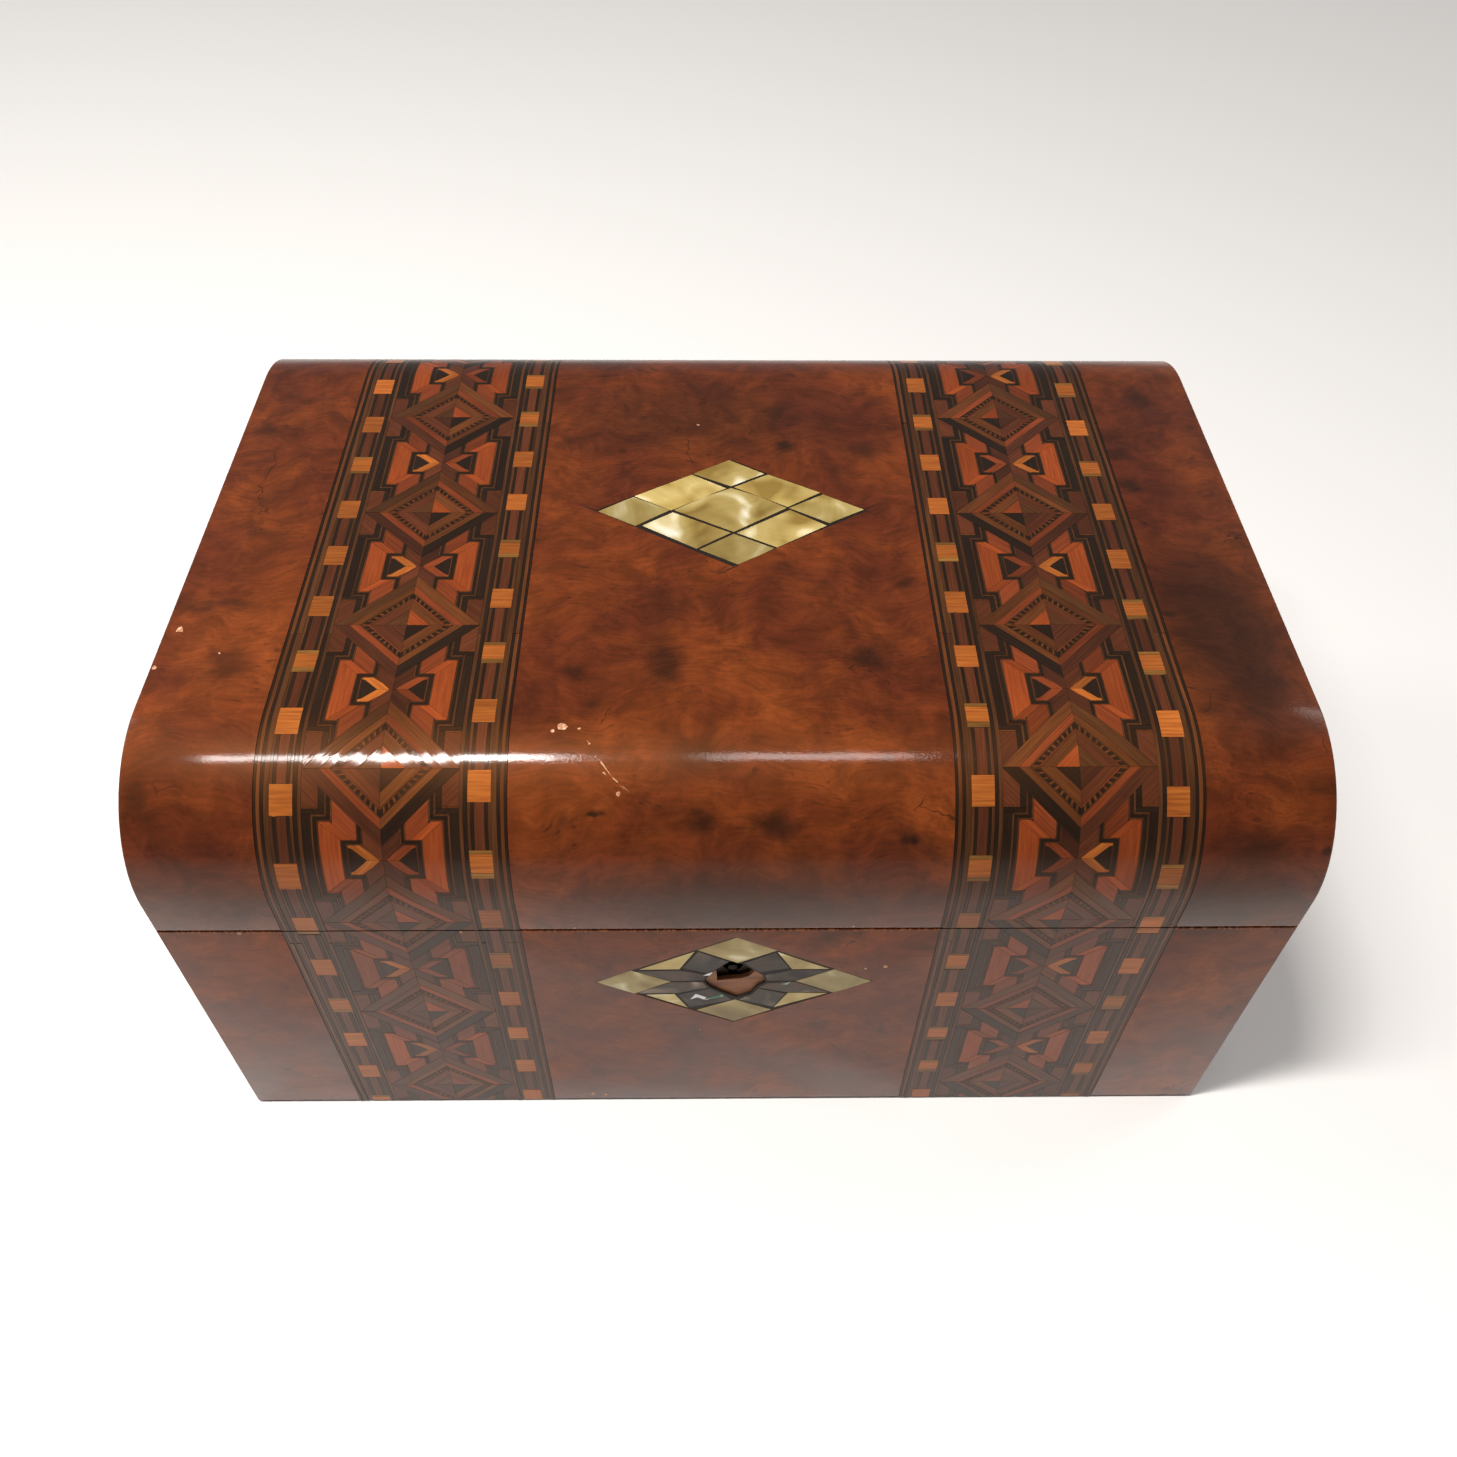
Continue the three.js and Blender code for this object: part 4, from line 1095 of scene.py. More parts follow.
# ---------------------------------------------------------------------------------------
# The keyhole's lozenge: four rhombi and four triangles of pearl round an eight-pointed
# star of abalone. The middle has broken away, and bare wood shows round the hole.

PEARL_POINTS = (
    ((-8, -9.6), (2, -15.8), (12, -9.8), (1.6, -3.9)),
    ((-34.4, -25.2), (-25, -31), (-15.5, -25), (-25.5, -19.5)),
    ((17.5, -25), (27.5, -31), (36.7, -25.2), (27, -19.3)),
    ((-8.5, -40), (1.4, -46.1), (11, -40), (1.5, -34.7)),
    ((-23, -18.9), (-13, -18.7), (-9.2, -10.6)),
    ((16, -18.9), (25.2, -18.9), (12.2, -11.0)),
    ((-21.6, -31.9), (-11.2, -38.4), (-14.5, -31.7)),
    ((15.5, -31.2), (12.2, -38.4), (25.4, -31.4)),
)
ABALONE_POINTS = (
    ((-12, -18.2), (-5.3, -20.8), (-4.1, -19.4), (-0.4, -15.2), (-8.0, -10.7)),
    ((-24.0, -19.9), (-15, -24.7), (-6.9, -24.2), (-6.0, -21.8), (-13, -19.5)),
    ((3.8, -16.0), (6.2, -18.7), (7.6, -20.4), (15.1, -18.4), (11.4, -10.9)),
    ((9.2, -22.2), (9.9, -24.6), (17.1, -24.7), (25.7, -19.6), (16.2, -19.5)),
    ((-24.0, -30.9), (-14, -30.9), (-5.7, -28.1), (-7.1, -25.6), (-15.2, -25.4)),
    ((-13.4, -31.9), (-10.5, -38.3), (0.4, -34.6), (-1.9, -31.4), (-5.3, -28.7)),
    ((9.9, -26.1), (7.8, -28.2), (15, -30.6), (26.2, -30.8), (17, -25.5)),
    ((6.2, -31.6), (2.8, -34.5), (11.6, -38.3), (14.6, -31.5), (7.6, -28.8)),
)
BROKEN_MIDDLE = (
    (0, -15), (-3.6, -19.5), (-5.4, -22.1), (-6.6, -25.1), (-5, -28.1), (-1.6, -31),
    (2, -33.5), (5.6, -31.5), (7, -28.1), (9.4, -25.5), (8.6, -22.1), (5.6, -19.1), (3.4, -16.5),
)
chance = random.Random(22)
slips = [(1, slip) for slip in PEARL_POINTS] + [(2, slip) for slip in ABALONE_POINTS]
# Four small flakes on the abalone, painted near white and green as the shell's glints and sheen.
GLINT_FLAKES = (
    ((-10.4, -34.3), (-8.9, -31.4), (-6.0, -33.2), (-6.6, -34.4), (-8.4, -33.2)),
    ((-6.9, -22.0), (-4.4, -20.4), (-5.2, -22.0)),
    ((13.2, -26.6), (15.8, -25.4), (15.0, -26.8)),
    ((-6.4, -34.5), (-1.5, -32.7), (-1.9, -31.7), (-4.8, -33.2)),
)
escutcheon = inlay(
    "keyhole_slips", in_millimetres(key_hole, 0.03), BROKEN_MIDDLE, slips, chance, GLINT_FLAKES, 3,
)
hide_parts("keyhole_escutcheon")
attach(escutcheon, "base")

# ---------------------------------------------------------------------------------------
# Wear: knocks have lifted chips of veneer, and one long scratch curves over the shoulder.
# Each is a sliver of pale bare wood, a few hundredths of a millimetre proud.

# Bare, dry walnut under the polish: pale and matt.
bare_wood, tree, shader = new_finish("bare chipped walnut", Roughness=0.7)
place = add(tree, "ShaderNodeTexCoord")
speck = add(tree, "ShaderNodeTexNoise", {"Vector": place.outputs["Object"], "Scale": 1400.0, "Detail": 3.0})
pale = add(
    tree, "ShaderNodeValToRGB", {0: speck},
    stops=((0.3, "8a5a3a"), (0.55, "c08a63"), (0.7, "e2c2a2")),
)
tree.links.new(pale.outputs[0], shader.inputs["Base Color"])

SCRATCH = ((-35.6, 57.5), (-33.0, 53.5), (-30.2, 49.0), (-27.4, 45.2), (-23.2, 41.6))
CHIPS = (
    # body, across, along the girth, radius in mm
    ("lid", -39.6, 57.8, 1.5), ("lid", -41.6, 56.6, 0.6), ("lid", -136.2, 89.6, 1.3),
    ("lid", -8.2, 175.0, 0.5), ("lid", -124.5, 81.5, 0.4), ("lid", -26.0, 41.5, 0.7),
    ("lid", -139.0, 76.5, 0.8), ("lid", 30.0, 1.2, 0.4), ("lid", -38.0, 0.9, 0.5),
    ("base", 39.8, -17.8, 0.7), ("base", 34.8, -18.8, 0.5), ("base", -40.0, -90.2, 0.9),
    ("base", -7.8, -50.9, 0.4), ("base", -36.2, -90.8, 0.6), ("base", -120.0, -1.0, 0.6),
    ("base", -66.0, -0.8, 0.5),
)
CHIP_CORNERS = 8
CHIP_PROUD = 0.03


def chip_outline(u, v, radius, chance):
    """The ragged outline of a chip."""
    corners = []
    for index in range(CHIP_CORNERS):
        turn = index * 2 * math.pi / CHIP_CORNERS
        x = u + radius * chance.uniform(0.5, 1.1) * math.cos(turn)
        y = v + radius * chance.uniform(0.5, 1.1) * math.sin(turn)
        corners.append((x, y))
    return corners


chance = random.Random(23)
for body in ("lid", "base"):
    outlines = []
    bm = bmesh.new()
    uv = bm.loops.layers.uv.new("grain")
    for owner, u, v, radius in CHIPS:
        if owner == body:
            outline = chip_outline(u, v, radius, chance)
            lay_tile(bm, 0, outline, 0.0, chance, uv, relief=-CHIP_PROUD)
    if body == "lid":
        for index, (start, end) in enumerate(zip(SCRATCH, SCRATCH[1:])):
            outlines.append(knife_cut(start, end, 0.75 - 0.12 * index))
        outlines.append(knife_cut((-29.6, 46.5), (-24.6, 42.4), 0.45))
    for outline in outlines:
        lay_tile(bm, 0, outline, 0.0, chance, uv, relief=-CHIP_PROUD)
    bmesh.ops.scale(bm, vec=(0.001, 0.001, 0.001), verts=bm.verts)
    marks = bend(f"{body}_chips", bm, bare_wood)
    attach(marks, body)

# ---------------------------------------------------------------------------------------
# Lock, link plate and hinges: cast and rolled brass, filed flat and let in flush. The
# hinge pins and the lock's drill pin are drawn steel.

BRASSES = (
    "link_plate", "hinge_left_base_leaf", "hinge_right_base_leaf", "hinge_left_lid_leaf",
    "hinge_right_lid_leaf",
)
LOCK_BRASSES = ("lock_case", "lock_cap", "lock_bolt")
STEELS = ("hinge_left_pin", "hinge_right_pin")


def metal(name, dull, bright, roughness, scratch, oiled_and_shaded_below=0.0):
    """Filed metal: tarnish in patches 4 to 10 mm wide and file marks 0.3 mm apart. Given a height, the colour
    falls to near black below it, as old oil and as painted shade.
    """
    material, tree, shader = new_finish(name, Metallic=1.0)
    place = add(tree, "ShaderNodeTexCoord")
    patches = add(tree, "ShaderNodeTexNoise", {
        "Vector": place.outputs["Object"], "Scale": 160.0, "Detail": 4.0,
    })
    colour = add(tree, "ShaderNodeValToRGB", {0: patches}, stops=((0.35, dull), (0.62, bright)))
    gloss = add(
        tree, "ShaderNodeMapRange",
        {0: patches, 1: 0.35, 2: 0.65, 3: roughness + 0.18, 4: roughness},
    )
    comb = add(tree, "ShaderNodeMapping", {0: place.outputs["Object"], "Scale": (120, 3300, 3300)})
    marks = add(tree, "ShaderNodeTexNoise", {"Vector": comb, "Scale": 1.0, "Detail": 1.0})
    bump = add(tree, "ShaderNodeBump", {"Height": marks, "Distance": mm(scratch), "Strength": 0.6})
    if oiled_and_shaded_below:
        depth = add(tree, "ShaderNodeSeparateXYZ", {0: place.outputs["Object"]})
        oil_and_shade = add(tree, "ShaderNodeMapRange", {
            0: depth.outputs[2], 1: oiled_and_shaded_below - mm(0.6), 2: oiled_and_shaded_below, 3: 0.03, 4: 1.0,
        })
        colour = add(tree, "ShaderNodeVectorMath", {0: colour, "Scale": oil_and_shade}, operation="SCALE")
    tree.links.new(colour.outputs[0], shader.inputs["Base Color"])
    tree.links.new(gloss.outputs[0], shader.inputs["Roughness"])
    tree.links.new(bump.outputs[0], shader.inputs["Normal"])
    return material


aged_brass = metal("aged filed brass", "6e5230", "b08a4c", 0.30, 0.03)
drawn_steel = metal("drawn steel", "4d4a46", "8f8c86", 0.32, 0.02)
coat_nodes(BRASSES, aged_brass)
coat_nodes(STEELS, drawn_steel)
# The lock's works are painted near black, as old oil and dust and as the painted shade inside the keyhole;
# only its top strip is wiped clean. The drill pin is darkened the same way.
lock_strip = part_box("lock_case")[1][2] - mm(1.0)
oiled_shaded_brass = metal("lock brass dark with oil and painted shade", "6e5230", "b08a4c", 0.30, 0.03, lock_strip)
coat_nodes(LOCK_BRASSES, oiled_shaded_brass)
oiled_shaded_steel = metal("lock steel dark with oil and painted shade", "14110e", "26221d", 0.55, 0.02)
coat_nodes(("lock_drill_pin",), oiled_shaded_steel)

# ---------------------------------------------------------------------------------------
# Screws: turned brass wood screws with slotted, countersunk heads. Two hold the lock, two
# the link plate, and two each leaf of the hinges; no two slots line up.

SCREW_HEAD = mm(1.65)
SCREW_SHANK = mm(0.95)
SCREW_LENGTH = mm(7.5)
HEAD_DEPTH = mm(0.8)
SLOT = (mm(0.5), mm(0.35))  # width, depth
SLOT_LENGTH = SCREW_HEAD * 2.4  # right across the head and out at both sides
SHANK_START = HEAD_DEPTH * 0.5  # below the face, inside the head
PROUD = mm(0.03)
LEAF_SPREAD = 0.3  # from the middle of a leaf to each screw, as a share of its length
LEAF_INSET = mm(3.3)  # from the leaf's inner edge


def build_screw_tree():
    """Geometry Nodes that stand a slotted screw at each vertex of a mesh."""
    tree = bpy.data.node_groups.new("slotted wood screws", "GeometryNodeTree")
    tree.is_modifier = True
    sockets = (
        ("Geometry", "INPUT", "NodeSocketGeometry"),
        ("Head radius", "INPUT", "NodeSocketFloat"),
        ("Shank radius", "INPUT", "NodeSocketFloat"),
        ("Length", "INPUT", "NodeSocketFloat"),
        ("Head depth", "INPUT", "NodeSocketFloat"),
        ("Head drop", "INPUT", "NodeSocketVector"),
        ("Shank drop", "INPUT", "NodeSocketVector"),
        ("Slot size", "INPUT", "NodeSocketVector"),
        ("Tilt", "INPUT", "NodeSocketFloat"),
        ("Finish", "INPUT", "NodeSocketMaterial"),
        ("Geometry", "OUTPUT", "NodeSocketGeometry"),
    )
    for name, direction, kind in sockets:
        tree.interface.new_socket(name, in_out=direction, socket_type=kind)
    given = add(tree, "NodeGroupInput").outputs
    head = add(tree, "GeometryNodeMeshCone", {
        "Vertices": 24, "Radius Top": given["Head radius"], "Radius Bottom": given["Shank radius"],
        "Depth": given["Head depth"],
    })
    shank = add(tree, "GeometryNodeMeshCylinder", {
        "Vertices": 12, "Radius": given["Shank radius"], "Depth": given["Length"],
    })
    sunk_head = add(tree, "GeometryNodeTransform", {0: head, "Translation": given["Head drop"]})
    sunk_shank = add(tree, "GeometryNodeTransform", {0: shank, "Translation": given["Shank drop"]})
    slot_block = add(tree, "GeometryNodeMeshCube", {"Size": given["Slot size"]})
    whole = add(tree, "GeometryNodeMeshBoolean", {1: sunk_head}, operation="UNION", solver="EXACT")
    tree.links.new(sunk_shank.outputs[0], whole.inputs[1])
    slotted = add(
        tree, "GeometryNodeMeshBoolean", {0: whole, 1: slot_block}, operation="DIFFERENCE", solver="EXACT",
    )
    spin = add(tree, "FunctionNodeRandomValue", {2: 0.0, 3: math.pi, "Seed": 5}, data_type="FLOAT")
    turned = add(tree, "ShaderNodeCombineXYZ", {0: given["Tilt"], 2: spin})
    placed = add(tree, "GeometryNodeInstanceOnPoints", {0: given["Geometry"], 2: slotted, "Rotation": turned})
    real = add(tree, "GeometryNodeRealizeInstances", {0: placed})
    painted = add(tree, "GeometryNodeSetMaterial", {0: real, "Material": given["Finish"]})
    add(tree, "NodeGroupOutput", {0: painted})
    return tree


turned_brass = metal("turned brass screws", "8f6c35", "d0a860", 0.2, 0.02)
screw_tree = build_screw_tree()
lock_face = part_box("lock_case")[1][2]
link_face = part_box("link_screw_left")[0][2]


def screw_middle(node):
    low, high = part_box(node)
    return (low[0] + high[0]) / 2, (low[1] + high[1]) / 2


def leaf_screws(half, z):
    """Two places on each leaf of the two hinges, in front of the knuckles."""
    places = []
    for label in ("left", "right"):
        low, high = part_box(f"hinge_{label}_{half}_leaf")
        middle, reach = (low[0] + high[0]) / 2, (high[0] - low[0]) * LEAF_SPREAD
        places += [(middle + way * reach, low[1] + LEAF_INSET, z) for way in (-1, 1)]
    return places


SCREW_SETS = (
    # name, body, CAD screws, height of their heads, tilt, places on the leaves
    ("base_screws", "base", "lock_screw", lock_face + PROUD, 0.0, leaf_screws("base", BASE_TOP + PROUD)),
    ("lid_screws", "lid", "link_screw", link_face - PROUD, math.pi, leaf_screws("lid", LID_EDGE - PROUD)),
)
for name, body, node, head_z, tilt, places in SCREW_SETS:
    seats = [screw_middle(f"{node}_{label}") for label in ("left", "right")]
    points = [(x, y, head_z) for x, y in seats] + places
    source = bpy.data.meshes.new(name + "_places")
    source.from_pydata(points, [], [])
    screws = run_tree(name, source, screw_tree, {
        "Head radius": SCREW_HEAD, "Shank radius": SCREW_SHANK, "Length": SCREW_LENGTH,
        "Head depth": HEAD_DEPTH, "Head drop": (0, 0, -HEAD_DEPTH),
        "Shank drop": (0, 0, -SHANK_START - SCREW_LENGTH / 2),
        "Slot size": (SLOT_LENGTH, SLOT[0], SLOT[1] * 2),
        "Tilt": tilt, "Finish": turned_brass,
    })
    smooth(screws.data)
    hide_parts(f"{node}_left", f"{node}_right")
    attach(screws, body)

# ---------------------------------------------------------------------------------------
# The silk inside the lid: one sheet glued round the front, the ceiling and the back, a flat
# one on each end, and on the ceiling a padded panel of silk, swelled by its wadding.

SILK = mm(0.4)
ceiling_low, ceiling_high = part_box("lid_lining_pad")
end_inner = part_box("lid_right_end")[0][0]
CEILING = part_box("lid_top_board")[0][2]
FLAT_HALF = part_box("lid_top_board")[1][1] + GLUE_LINE
INNER_RADIUS = CEILING - (PARTING + SPRING)
LINING_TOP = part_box("lining_front")[1][2]
SILK_EDGE = LINING_TOP + mm(1.0)

# Figured wine-red silk satin: threads 0.35 mm apart as drawn, with a soft sheen along X.
silk, tree, shader = new_finish(
    "wine red silk satin", Roughness=0.42, Sheen_Weight=0.35, Sheen_Roughness=0.4,
)
place = add(tree, "ShaderNodeTexCoord")
threads = add(tree, "ShaderNodeMapping", {0: place.outputs["Object"], "Scale": (260, 2800, 2800)})
weave = add(tree, "ShaderNodeTexNoise", {"Vector": threads, "Scale": 1.0, "Detail": 2.0})
moire = add(tree, "ShaderNodeMapping", {0: place.outputs["Object"], "Scale": (22, 130, 130)})
watered = add(tree, "ShaderNodeTexNoise", {"Vector": moire, "Scale": 1.0, "Detail": 3.0, "Distortion": 0.8})
shade = add(
    tree, "ShaderNodeValToRGB", {0: watered},
    stops=((0.3, "4f1220"), (0.5, "71202f"), (0.7, "93364a")),
)
rib = add(tree, "ShaderNodeMapRange", {0: weave, 1: 0.3, 2: 0.7, 3: 0.85, 4: 1.12})
threaded = add(tree, "ShaderNodeVectorMath", {0: shade, "Scale": rib}, operation="SCALE")
ribs = add(tree, "ShaderNodeBump", {"Height": weave, "Distance": mm(0.08), "Strength": 0.7})
tree.links.new(threaded.outputs[0], shader.inputs["Base Color"])
tree.links.new(ribs.outputs[0], shader.inputs["Normal"])


def swept(name, profile, x0, x1, finish):
    """A closed (Y, Z) profile carried from x0 to x1."""
    bm = bmesh.new()
    face = bm.faces.new([bm.verts.new((x0, y, z)) for y, z in profile])
    thicken(bm, [face], (x1 - x0, 0, 0))
    return as_piece(name, bm, finish)


def inner_line(depth, way):
    """The lid's inside in (Y, Z) at a depth below its wood: up one wall and round the cove."""
    points = [(way * (FLAT_HALF + INNER_RADIUS - depth), SILK_EDGE)]
    for step in range(BEND_STEPS + 1):
        angle = math.pi / 2 * step / BEND_STEPS
        radius = INNER_RADIUS - depth
        y = way * (FLAT_HALF + radius * math.cos(angle))
        points.append((y, PARTING + SPRING + radius * math.sin(angle)))
    return points


SILK_GAP = mm(0.05)
sheet_half = end_inner - SILK - 2 * SILK_GAP
profile = inner_line(SILK_GAP, -1) + inner_line(SILK_GAP, 1)[::-1]
profile += inner_line(SILK_GAP + SILK, 1) + inner_line(SILK_GAP + SILK, -1)[::-1]
vault = swept("lid_vault_silk", profile, -sheet_half, sheet_half, silk)
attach(vault, "lid")
for label, way in (("left", -1), ("right", 1)):
    outline = inner_line(SILK_GAP, -1) + inner_line(SILK_GAP, 1)[::-1]
    near, far = sorted((way * (end_inner - SILK_GAP), way * (end_inner - SILK_GAP - SILK)))
    cheek = swept(f"lid_{label}_silk", outline, near, far, silk)
    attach(cheek, "lid")


def bake_modifiers(piece):
    """Turns a piece with modifiers into the plain mesh that they make."""
    evaluated = piece.evaluated_get(bpy.context.evaluated_depsgraph_get())
    plain = bpy.data.meshes.new_from_object(evaluated)
    piece.modifiers.clear()
    old = piece.data
    piece.data = plain
    bpy.data.meshes.remove(old)


def board_block(low, high, inset=(0, 0, 0)):
    """A box from low to high, drawn in by an inset on each axis."""
    bm = bmesh.new()
    bmesh.ops.create_cube(bm, size=1.0)
    span = [(b - a) - 2 * gap for a, b, gap in zip(low, high, inset)]
    bmesh.ops.scale(bm, vec=span, verts=bm.verts)
    bmesh.ops.translate(bm, vec=[(a + b) / 2 for a, b in zip(low, high)], verts=bm.verts)
    return bm


VOXEL = mm(4)
PRESSURE = 4.0
SWELL_FRAMES = 20
PAD_INSET = (mm(2.5), mm(2.5), mm(1.3))  # how much smaller the pad starts than it ends
PAD_SWELL = mm(4)  # the furthest that a point of the pad may move


def cushion(name, low, high, finish):
    """A flat panel of wadding under cloth, swelled by pressure in a Cloth simulation."""
    piece = as_piece(name, board_block(low, high, PAD_INSET))
    bpy.context.view_layer.objects.active = piece
    remesh = piece.modifiers.new("wadding", "REMESH")
    remesh.mode = "VOXEL"
    remesh.voxel_size = VOXEL
    bake_modifiers(piece)
    still = [vert.co.copy() for vert in piece.data.vertices]
    cloth = piece.modifiers.new("cloth", "CLOTH")
    cloth.settings.use_pressure = True
    cloth.settings.uniform_pressure_force = PRESSURE
    cloth.settings.effector_weights.gravity = 0.0
    for frame_number in range(1, SWELL_FRAMES + 1):
        bpy.context.scene.frame_set(frame_number)
    bake_modifiers(piece)
    bpy.context.scene.frame_set(1)
    for vert, start in zip(piece.data.vertices, still):
        move = vert.co - start
        vert.co = start + move * min(1.0, PAD_SWELL / max(move.length, 1e-9))
    for axis in range(3):
        reached = [vert.co[axis] for vert in piece.data.vertices]
        start, spread = min(reached), max(reached) - min(reached)
        for vert in piece.data.vertices:
            share = (vert.co[axis] - start) / spread
            vert.co[axis] = low[axis] + (high[axis] - low[axis]) * share
    smoother = piece.modifiers.new("fine", "SUBSURF")
    smoother.levels = smoother.render_levels = 1
    bake_modifiers(piece)
    piece.data.shade_smooth()
    piece.data.materials.append(finish)
    return piece


pad_high = (ceiling_high[0], ceiling_high[1], CEILING - 2 * SILK_GAP - SILK)
lid_pad = cushion("lid_silk_pad", ceiling_low, pad_high, silk)
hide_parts("lid_lining_pad")
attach(lid_pad, "lid")

# ---------------------------------------------------------------------------------------
# The well: four thin boards wrapped in velvet stand inside the walls and rise 5 mm above
# the rim, where they find the lid. A quilted velvet pad lies on the floor.

# Claret cotton velvet: a dense short pile, dark head-on and lighter at a glance, with
# brushed patches 10 to 25 mm wide.
velvet, tree, shader = new_finish(
    "claret cotton velvet", Roughness=0.9, Sheen_Weight=0.8, Sheen_Roughness=0.35,
    Sheen_Tint=srgb("c86a76"),
)
place = add(tree, "ShaderNodeTexCoord")
brushed = add(tree, "ShaderNodeTexNoise", {"Vector": place.outputs["Object"], "Scale": 60.0, "Detail": 3.0})
shade = add(tree, "ShaderNodeValToRGB", {0: brushed}, stops=((0.3, "3d0811"), (0.7, "520e1a")))
pile = add(tree, "ShaderNodeTexNoise", {"Vector": place.outputs["Object"], "Scale": 2200.0, "Detail": 2.0})
nap = add(tree, "ShaderNodeBump", {"Height": pile, "Distance": mm(0.25), "Strength": 0.8})
tree.links.new(shade.outputs[0], shader.inputs["Base Color"])
tree.links.new(nap.outputs[0], shader.inputs["Normal"])

WRAP_ROUND = mm(1.1)


def long_top_edge(edge, low, high):
    """The two top edges that run the length of a lining board."""
    axis = 0 if high.x - low.x > high.y - low.y else 1
    level = all(abs(vert.co.z - high.z) < TOUCH for vert in edge.verts)
    return level and abs(edge.verts[0].co[axis] - edge.verts[1].co[axis]) > mm(10)


def wrapped_board(node):
    """A board the size of a CAD node, with its long top edges rounded by velvet."""
    low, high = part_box(node)
    bm = board_block(low, high)
    edges = [edge for edge in bm.edges if long_top_edge(edge, Vector(low), Vector(high))]
    bmesh.ops.bevel(bm, geom=edges, offset=WRAP_ROUND, segments=5, profile=0.5, affect="EDGES")
    bmesh.ops.recalc_face_normals(bm, faces=bm.faces)
    piece = as_piece(node + "_wrapped", bm, velvet)
    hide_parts(node)
    return piece


for label in ("front", "back", "left", "right"):
    board = wrapped_board(f"lining_{label}")
    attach(board, "base")

QUILT = mm(26)  # from seam to seam of the quilting
CREASE = mm(1.1)
SEAM_HALF = mm(2.6)
CROWN_RUN = mm(7)  # how far in from its rim a pad reaches its full height
RIM_SHARE = 0.35  # how high the rim stands, as a share of the middle


def quilted_pad(name, low, high, crease=CREASE, cell=mm(2.6)):
    """A thin pad with a crowned edge and diamond seams sunk into its top."""
    bm = bmesh.new()
    columns = max(2, round((high[0] - low[0]) / cell))
    rows = max(2, round((high[1] - low[1]) / cell))
    grid = []
    for row in range(rows + 1):
        line = []
        for column in range(columns + 1):
            x = low[0] + (high[0] - low[0]) * column / columns
            y = low[1] + (high[1] - low[1]) * row / rows
            rim_distance = max(0.0, min(x - low[0], high[0] - x, y - low[1], high[1] - y))
            crown = math.sqrt(1 - (1 - min(rim_distance / CROWN_RUN, 1)) ** 2)
            ways = [abs(((x + sign * y) / QUILT + 0.5) % 1 - 0.5) * QUILT for sign in (1, -1)]
            sunk = sum(math.exp(-((way / SEAM_HALF) ** 2)) for way in ways)
            share = RIM_SHARE + (1 - RIM_SHARE) * crown
            top = low[2] + (high[2] - low[2]) * share
            line.append(bm.verts.new((x, y, top - crease * min(sunk, 1.2) * crown)))
        grid.append(line)
    for row in range(rows):
        for column in range(columns):
            bm.faces.new((
                grid[row][column], grid[row][column + 1], grid[row + 1][column + 1], grid[row + 1][column],
            ))
    edge = [e for e in bm.edges if e.is_boundary]
    skirt = bmesh.ops.extrude_edge_only(bm, edges=edge)
    lower = [item for item in skirt["geom"] if isinstance(item, bmesh.types.BMVert)]
    for vert in lower:
        vert.co.z = low[2]
    bmesh.ops.contextual_create(bm, geom=[e for e in bm.edges if e.is_boundary])
    bmesh.ops.recalc_face_normals(bm, faces=bm.faces)
    piece = as_piece(name, bm, velvet)
    return piece


floor_pad = quilted_pad("well_quilted_pad", *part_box("floor_pad"))
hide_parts("floor_pad")
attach(floor_pad, "base")

# ---------------------------------------------------------------------------------------
# The lift-out tray and its ledges: thin walnut, planed, with a rubbed wax finish. Each of
# its four compartments has a small velvet pad glued to the floor.

TRAY_WOOD = (
    "tray_floor", "tray_front", "tray_back", "tray_left", "tray_right", "tray_divider_long",
    "tray_divider_left", "tray_divider_right", "tray_ledge_left", "tray_ledge_right",
)
# Waxed walnut: straight grain along X about 1.2 mm apart, open pores, low satin gloss.
waxed, tree, shader = new_finish(
    "waxed straight walnut", Roughness=0.45, Coat_Weight=0.15, Coat_Roughness=0.3,
)
place = add(tree, "ShaderNodeTexCoord")
stretch = add(tree, "ShaderNodeMapping", {0: place.outputs["Object"], "Scale": (25, 700, 700)})
grain = add(tree, "ShaderNodeTexNoise", {"Vector": stretch, "Scale": 1.0, "Detail": 4.0})
brown = add(
    tree, "ShaderNodeValToRGB", {0: grain},
    stops=((0.3, "3b1f12"), (0.5, "5f3520"), (0.7, "7b4a2d")),
)
pore = add(tree, "ShaderNodeBump", {"Height": grain, "Distance": mm(0.08), "Strength": 0.5})
tree.links.new(brown.outputs[0], shader.inputs["Base Color"])
tree.links.new(pore.outputs[0], shader.inputs["Normal"])
coat_nodes(TRAY_WOOD, waxed)

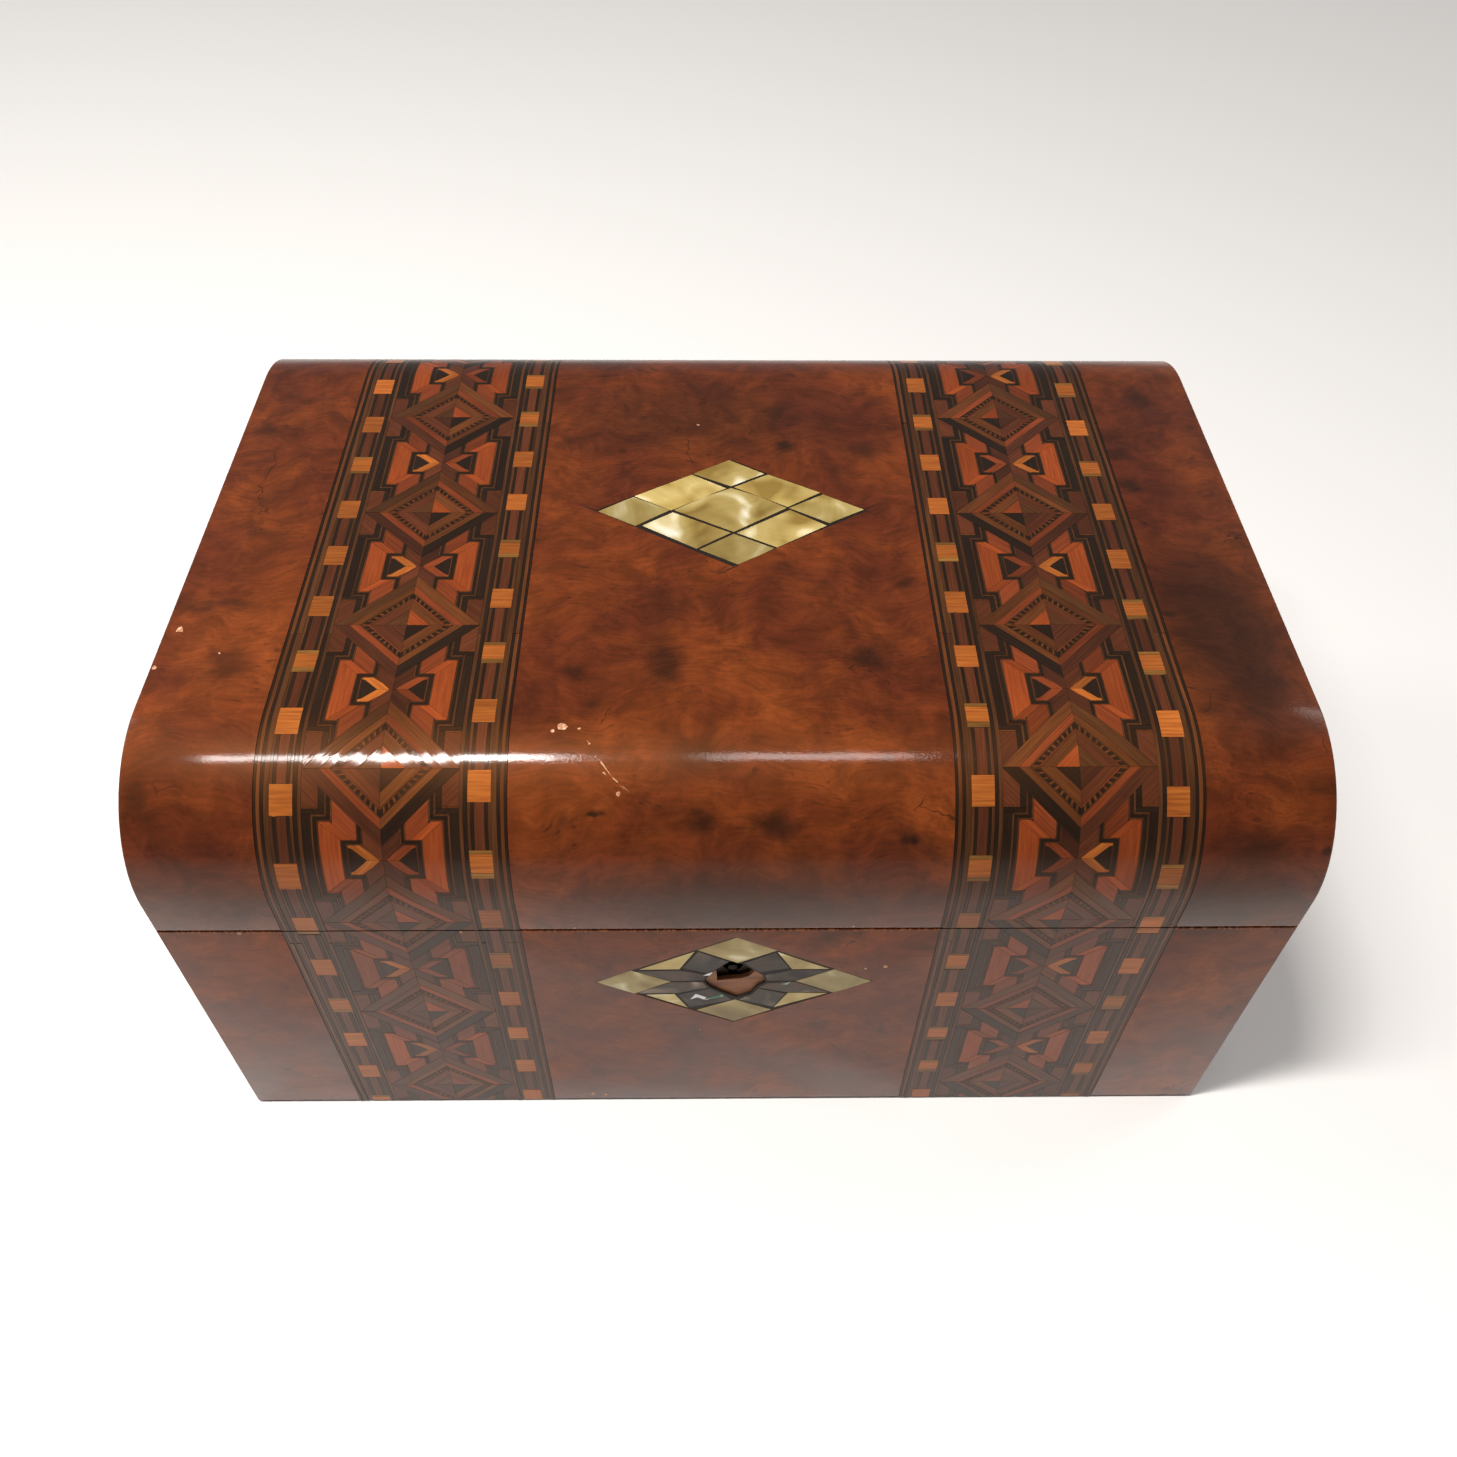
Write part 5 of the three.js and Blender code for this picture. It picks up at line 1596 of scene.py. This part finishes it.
PAD_GAP = mm(0.4)  # between a pad and the walls round it
PAD_LIFT = mm(0.05)
tray_floor_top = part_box("tray_floor")[1][2]
inner_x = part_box("tray_right")[0][0] - PAD_GAP
inner_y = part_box("tray_back")[0][1] - PAD_GAP
long_low, long_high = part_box("tray_divider_long")
cross_low, cross_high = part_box("tray_divider_right")
PAD_THICK = mm(1.8)
COMPARTMENTS = (
    ("back", (-inner_x, long_high[1] + PAD_GAP), (inner_x, inner_y)),
    ("left", (-inner_x, -inner_y), (-cross_high[0] - PAD_GAP, long_low[1] - PAD_GAP)),
    ("middle", (-cross_low[0] + PAD_GAP, -inner_y), (cross_low[0] - PAD_GAP, long_low[1] - PAD_GAP)),
    ("right", (cross_high[0] + PAD_GAP, -inner_y), (inner_x, long_low[1] - PAD_GAP)),
)
for label, near, far in COMPARTMENTS:
    low = (*near, tray_floor_top + PAD_LIFT)
    high = (*far, tray_floor_top + PAD_THICK)
    pad = quilted_pad(f"tray_{label}_pad", low, high, crease=0.0, cell=mm(5))
    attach(pad, "tray")

# ---------------------------------------------------------------------------------------
# The underside: one piece of green wool baize, glued on so that the box slides without
# marking a table.

# Green baize: felted wool with a fine tangled nap and faint worn patches.
green_baize, tree, shader = new_finish(
    "green wool baize", Roughness=0.95, Sheen_Weight=0.4, Sheen_Roughness=0.6,
)
place = add(tree, "ShaderNodeTexCoord")
worn = add(tree, "ShaderNodeTexNoise", {"Vector": place.outputs["Object"], "Scale": 35.0, "Detail": 5.0})
felt = add(
    tree, "ShaderNodeValToRGB", {0: worn},
    stops=((0.35, "1f3526"), (0.6, "2f4d36"), (0.75, "4a6248")),
)
fuzz = add(tree, "ShaderNodeTexNoise", {"Vector": place.outputs["Object"], "Scale": 1500.0, "Detail": 3.0})
nap = add(tree, "ShaderNodeBump", {"Height": fuzz, "Distance": mm(0.2), "Strength": 0.7})
tree.links.new(felt.outputs[0], shader.inputs["Base Color"])
tree.links.new(nap.outputs[0], shader.inputs["Normal"])
coat_nodes(("underside_baize",), green_baize)
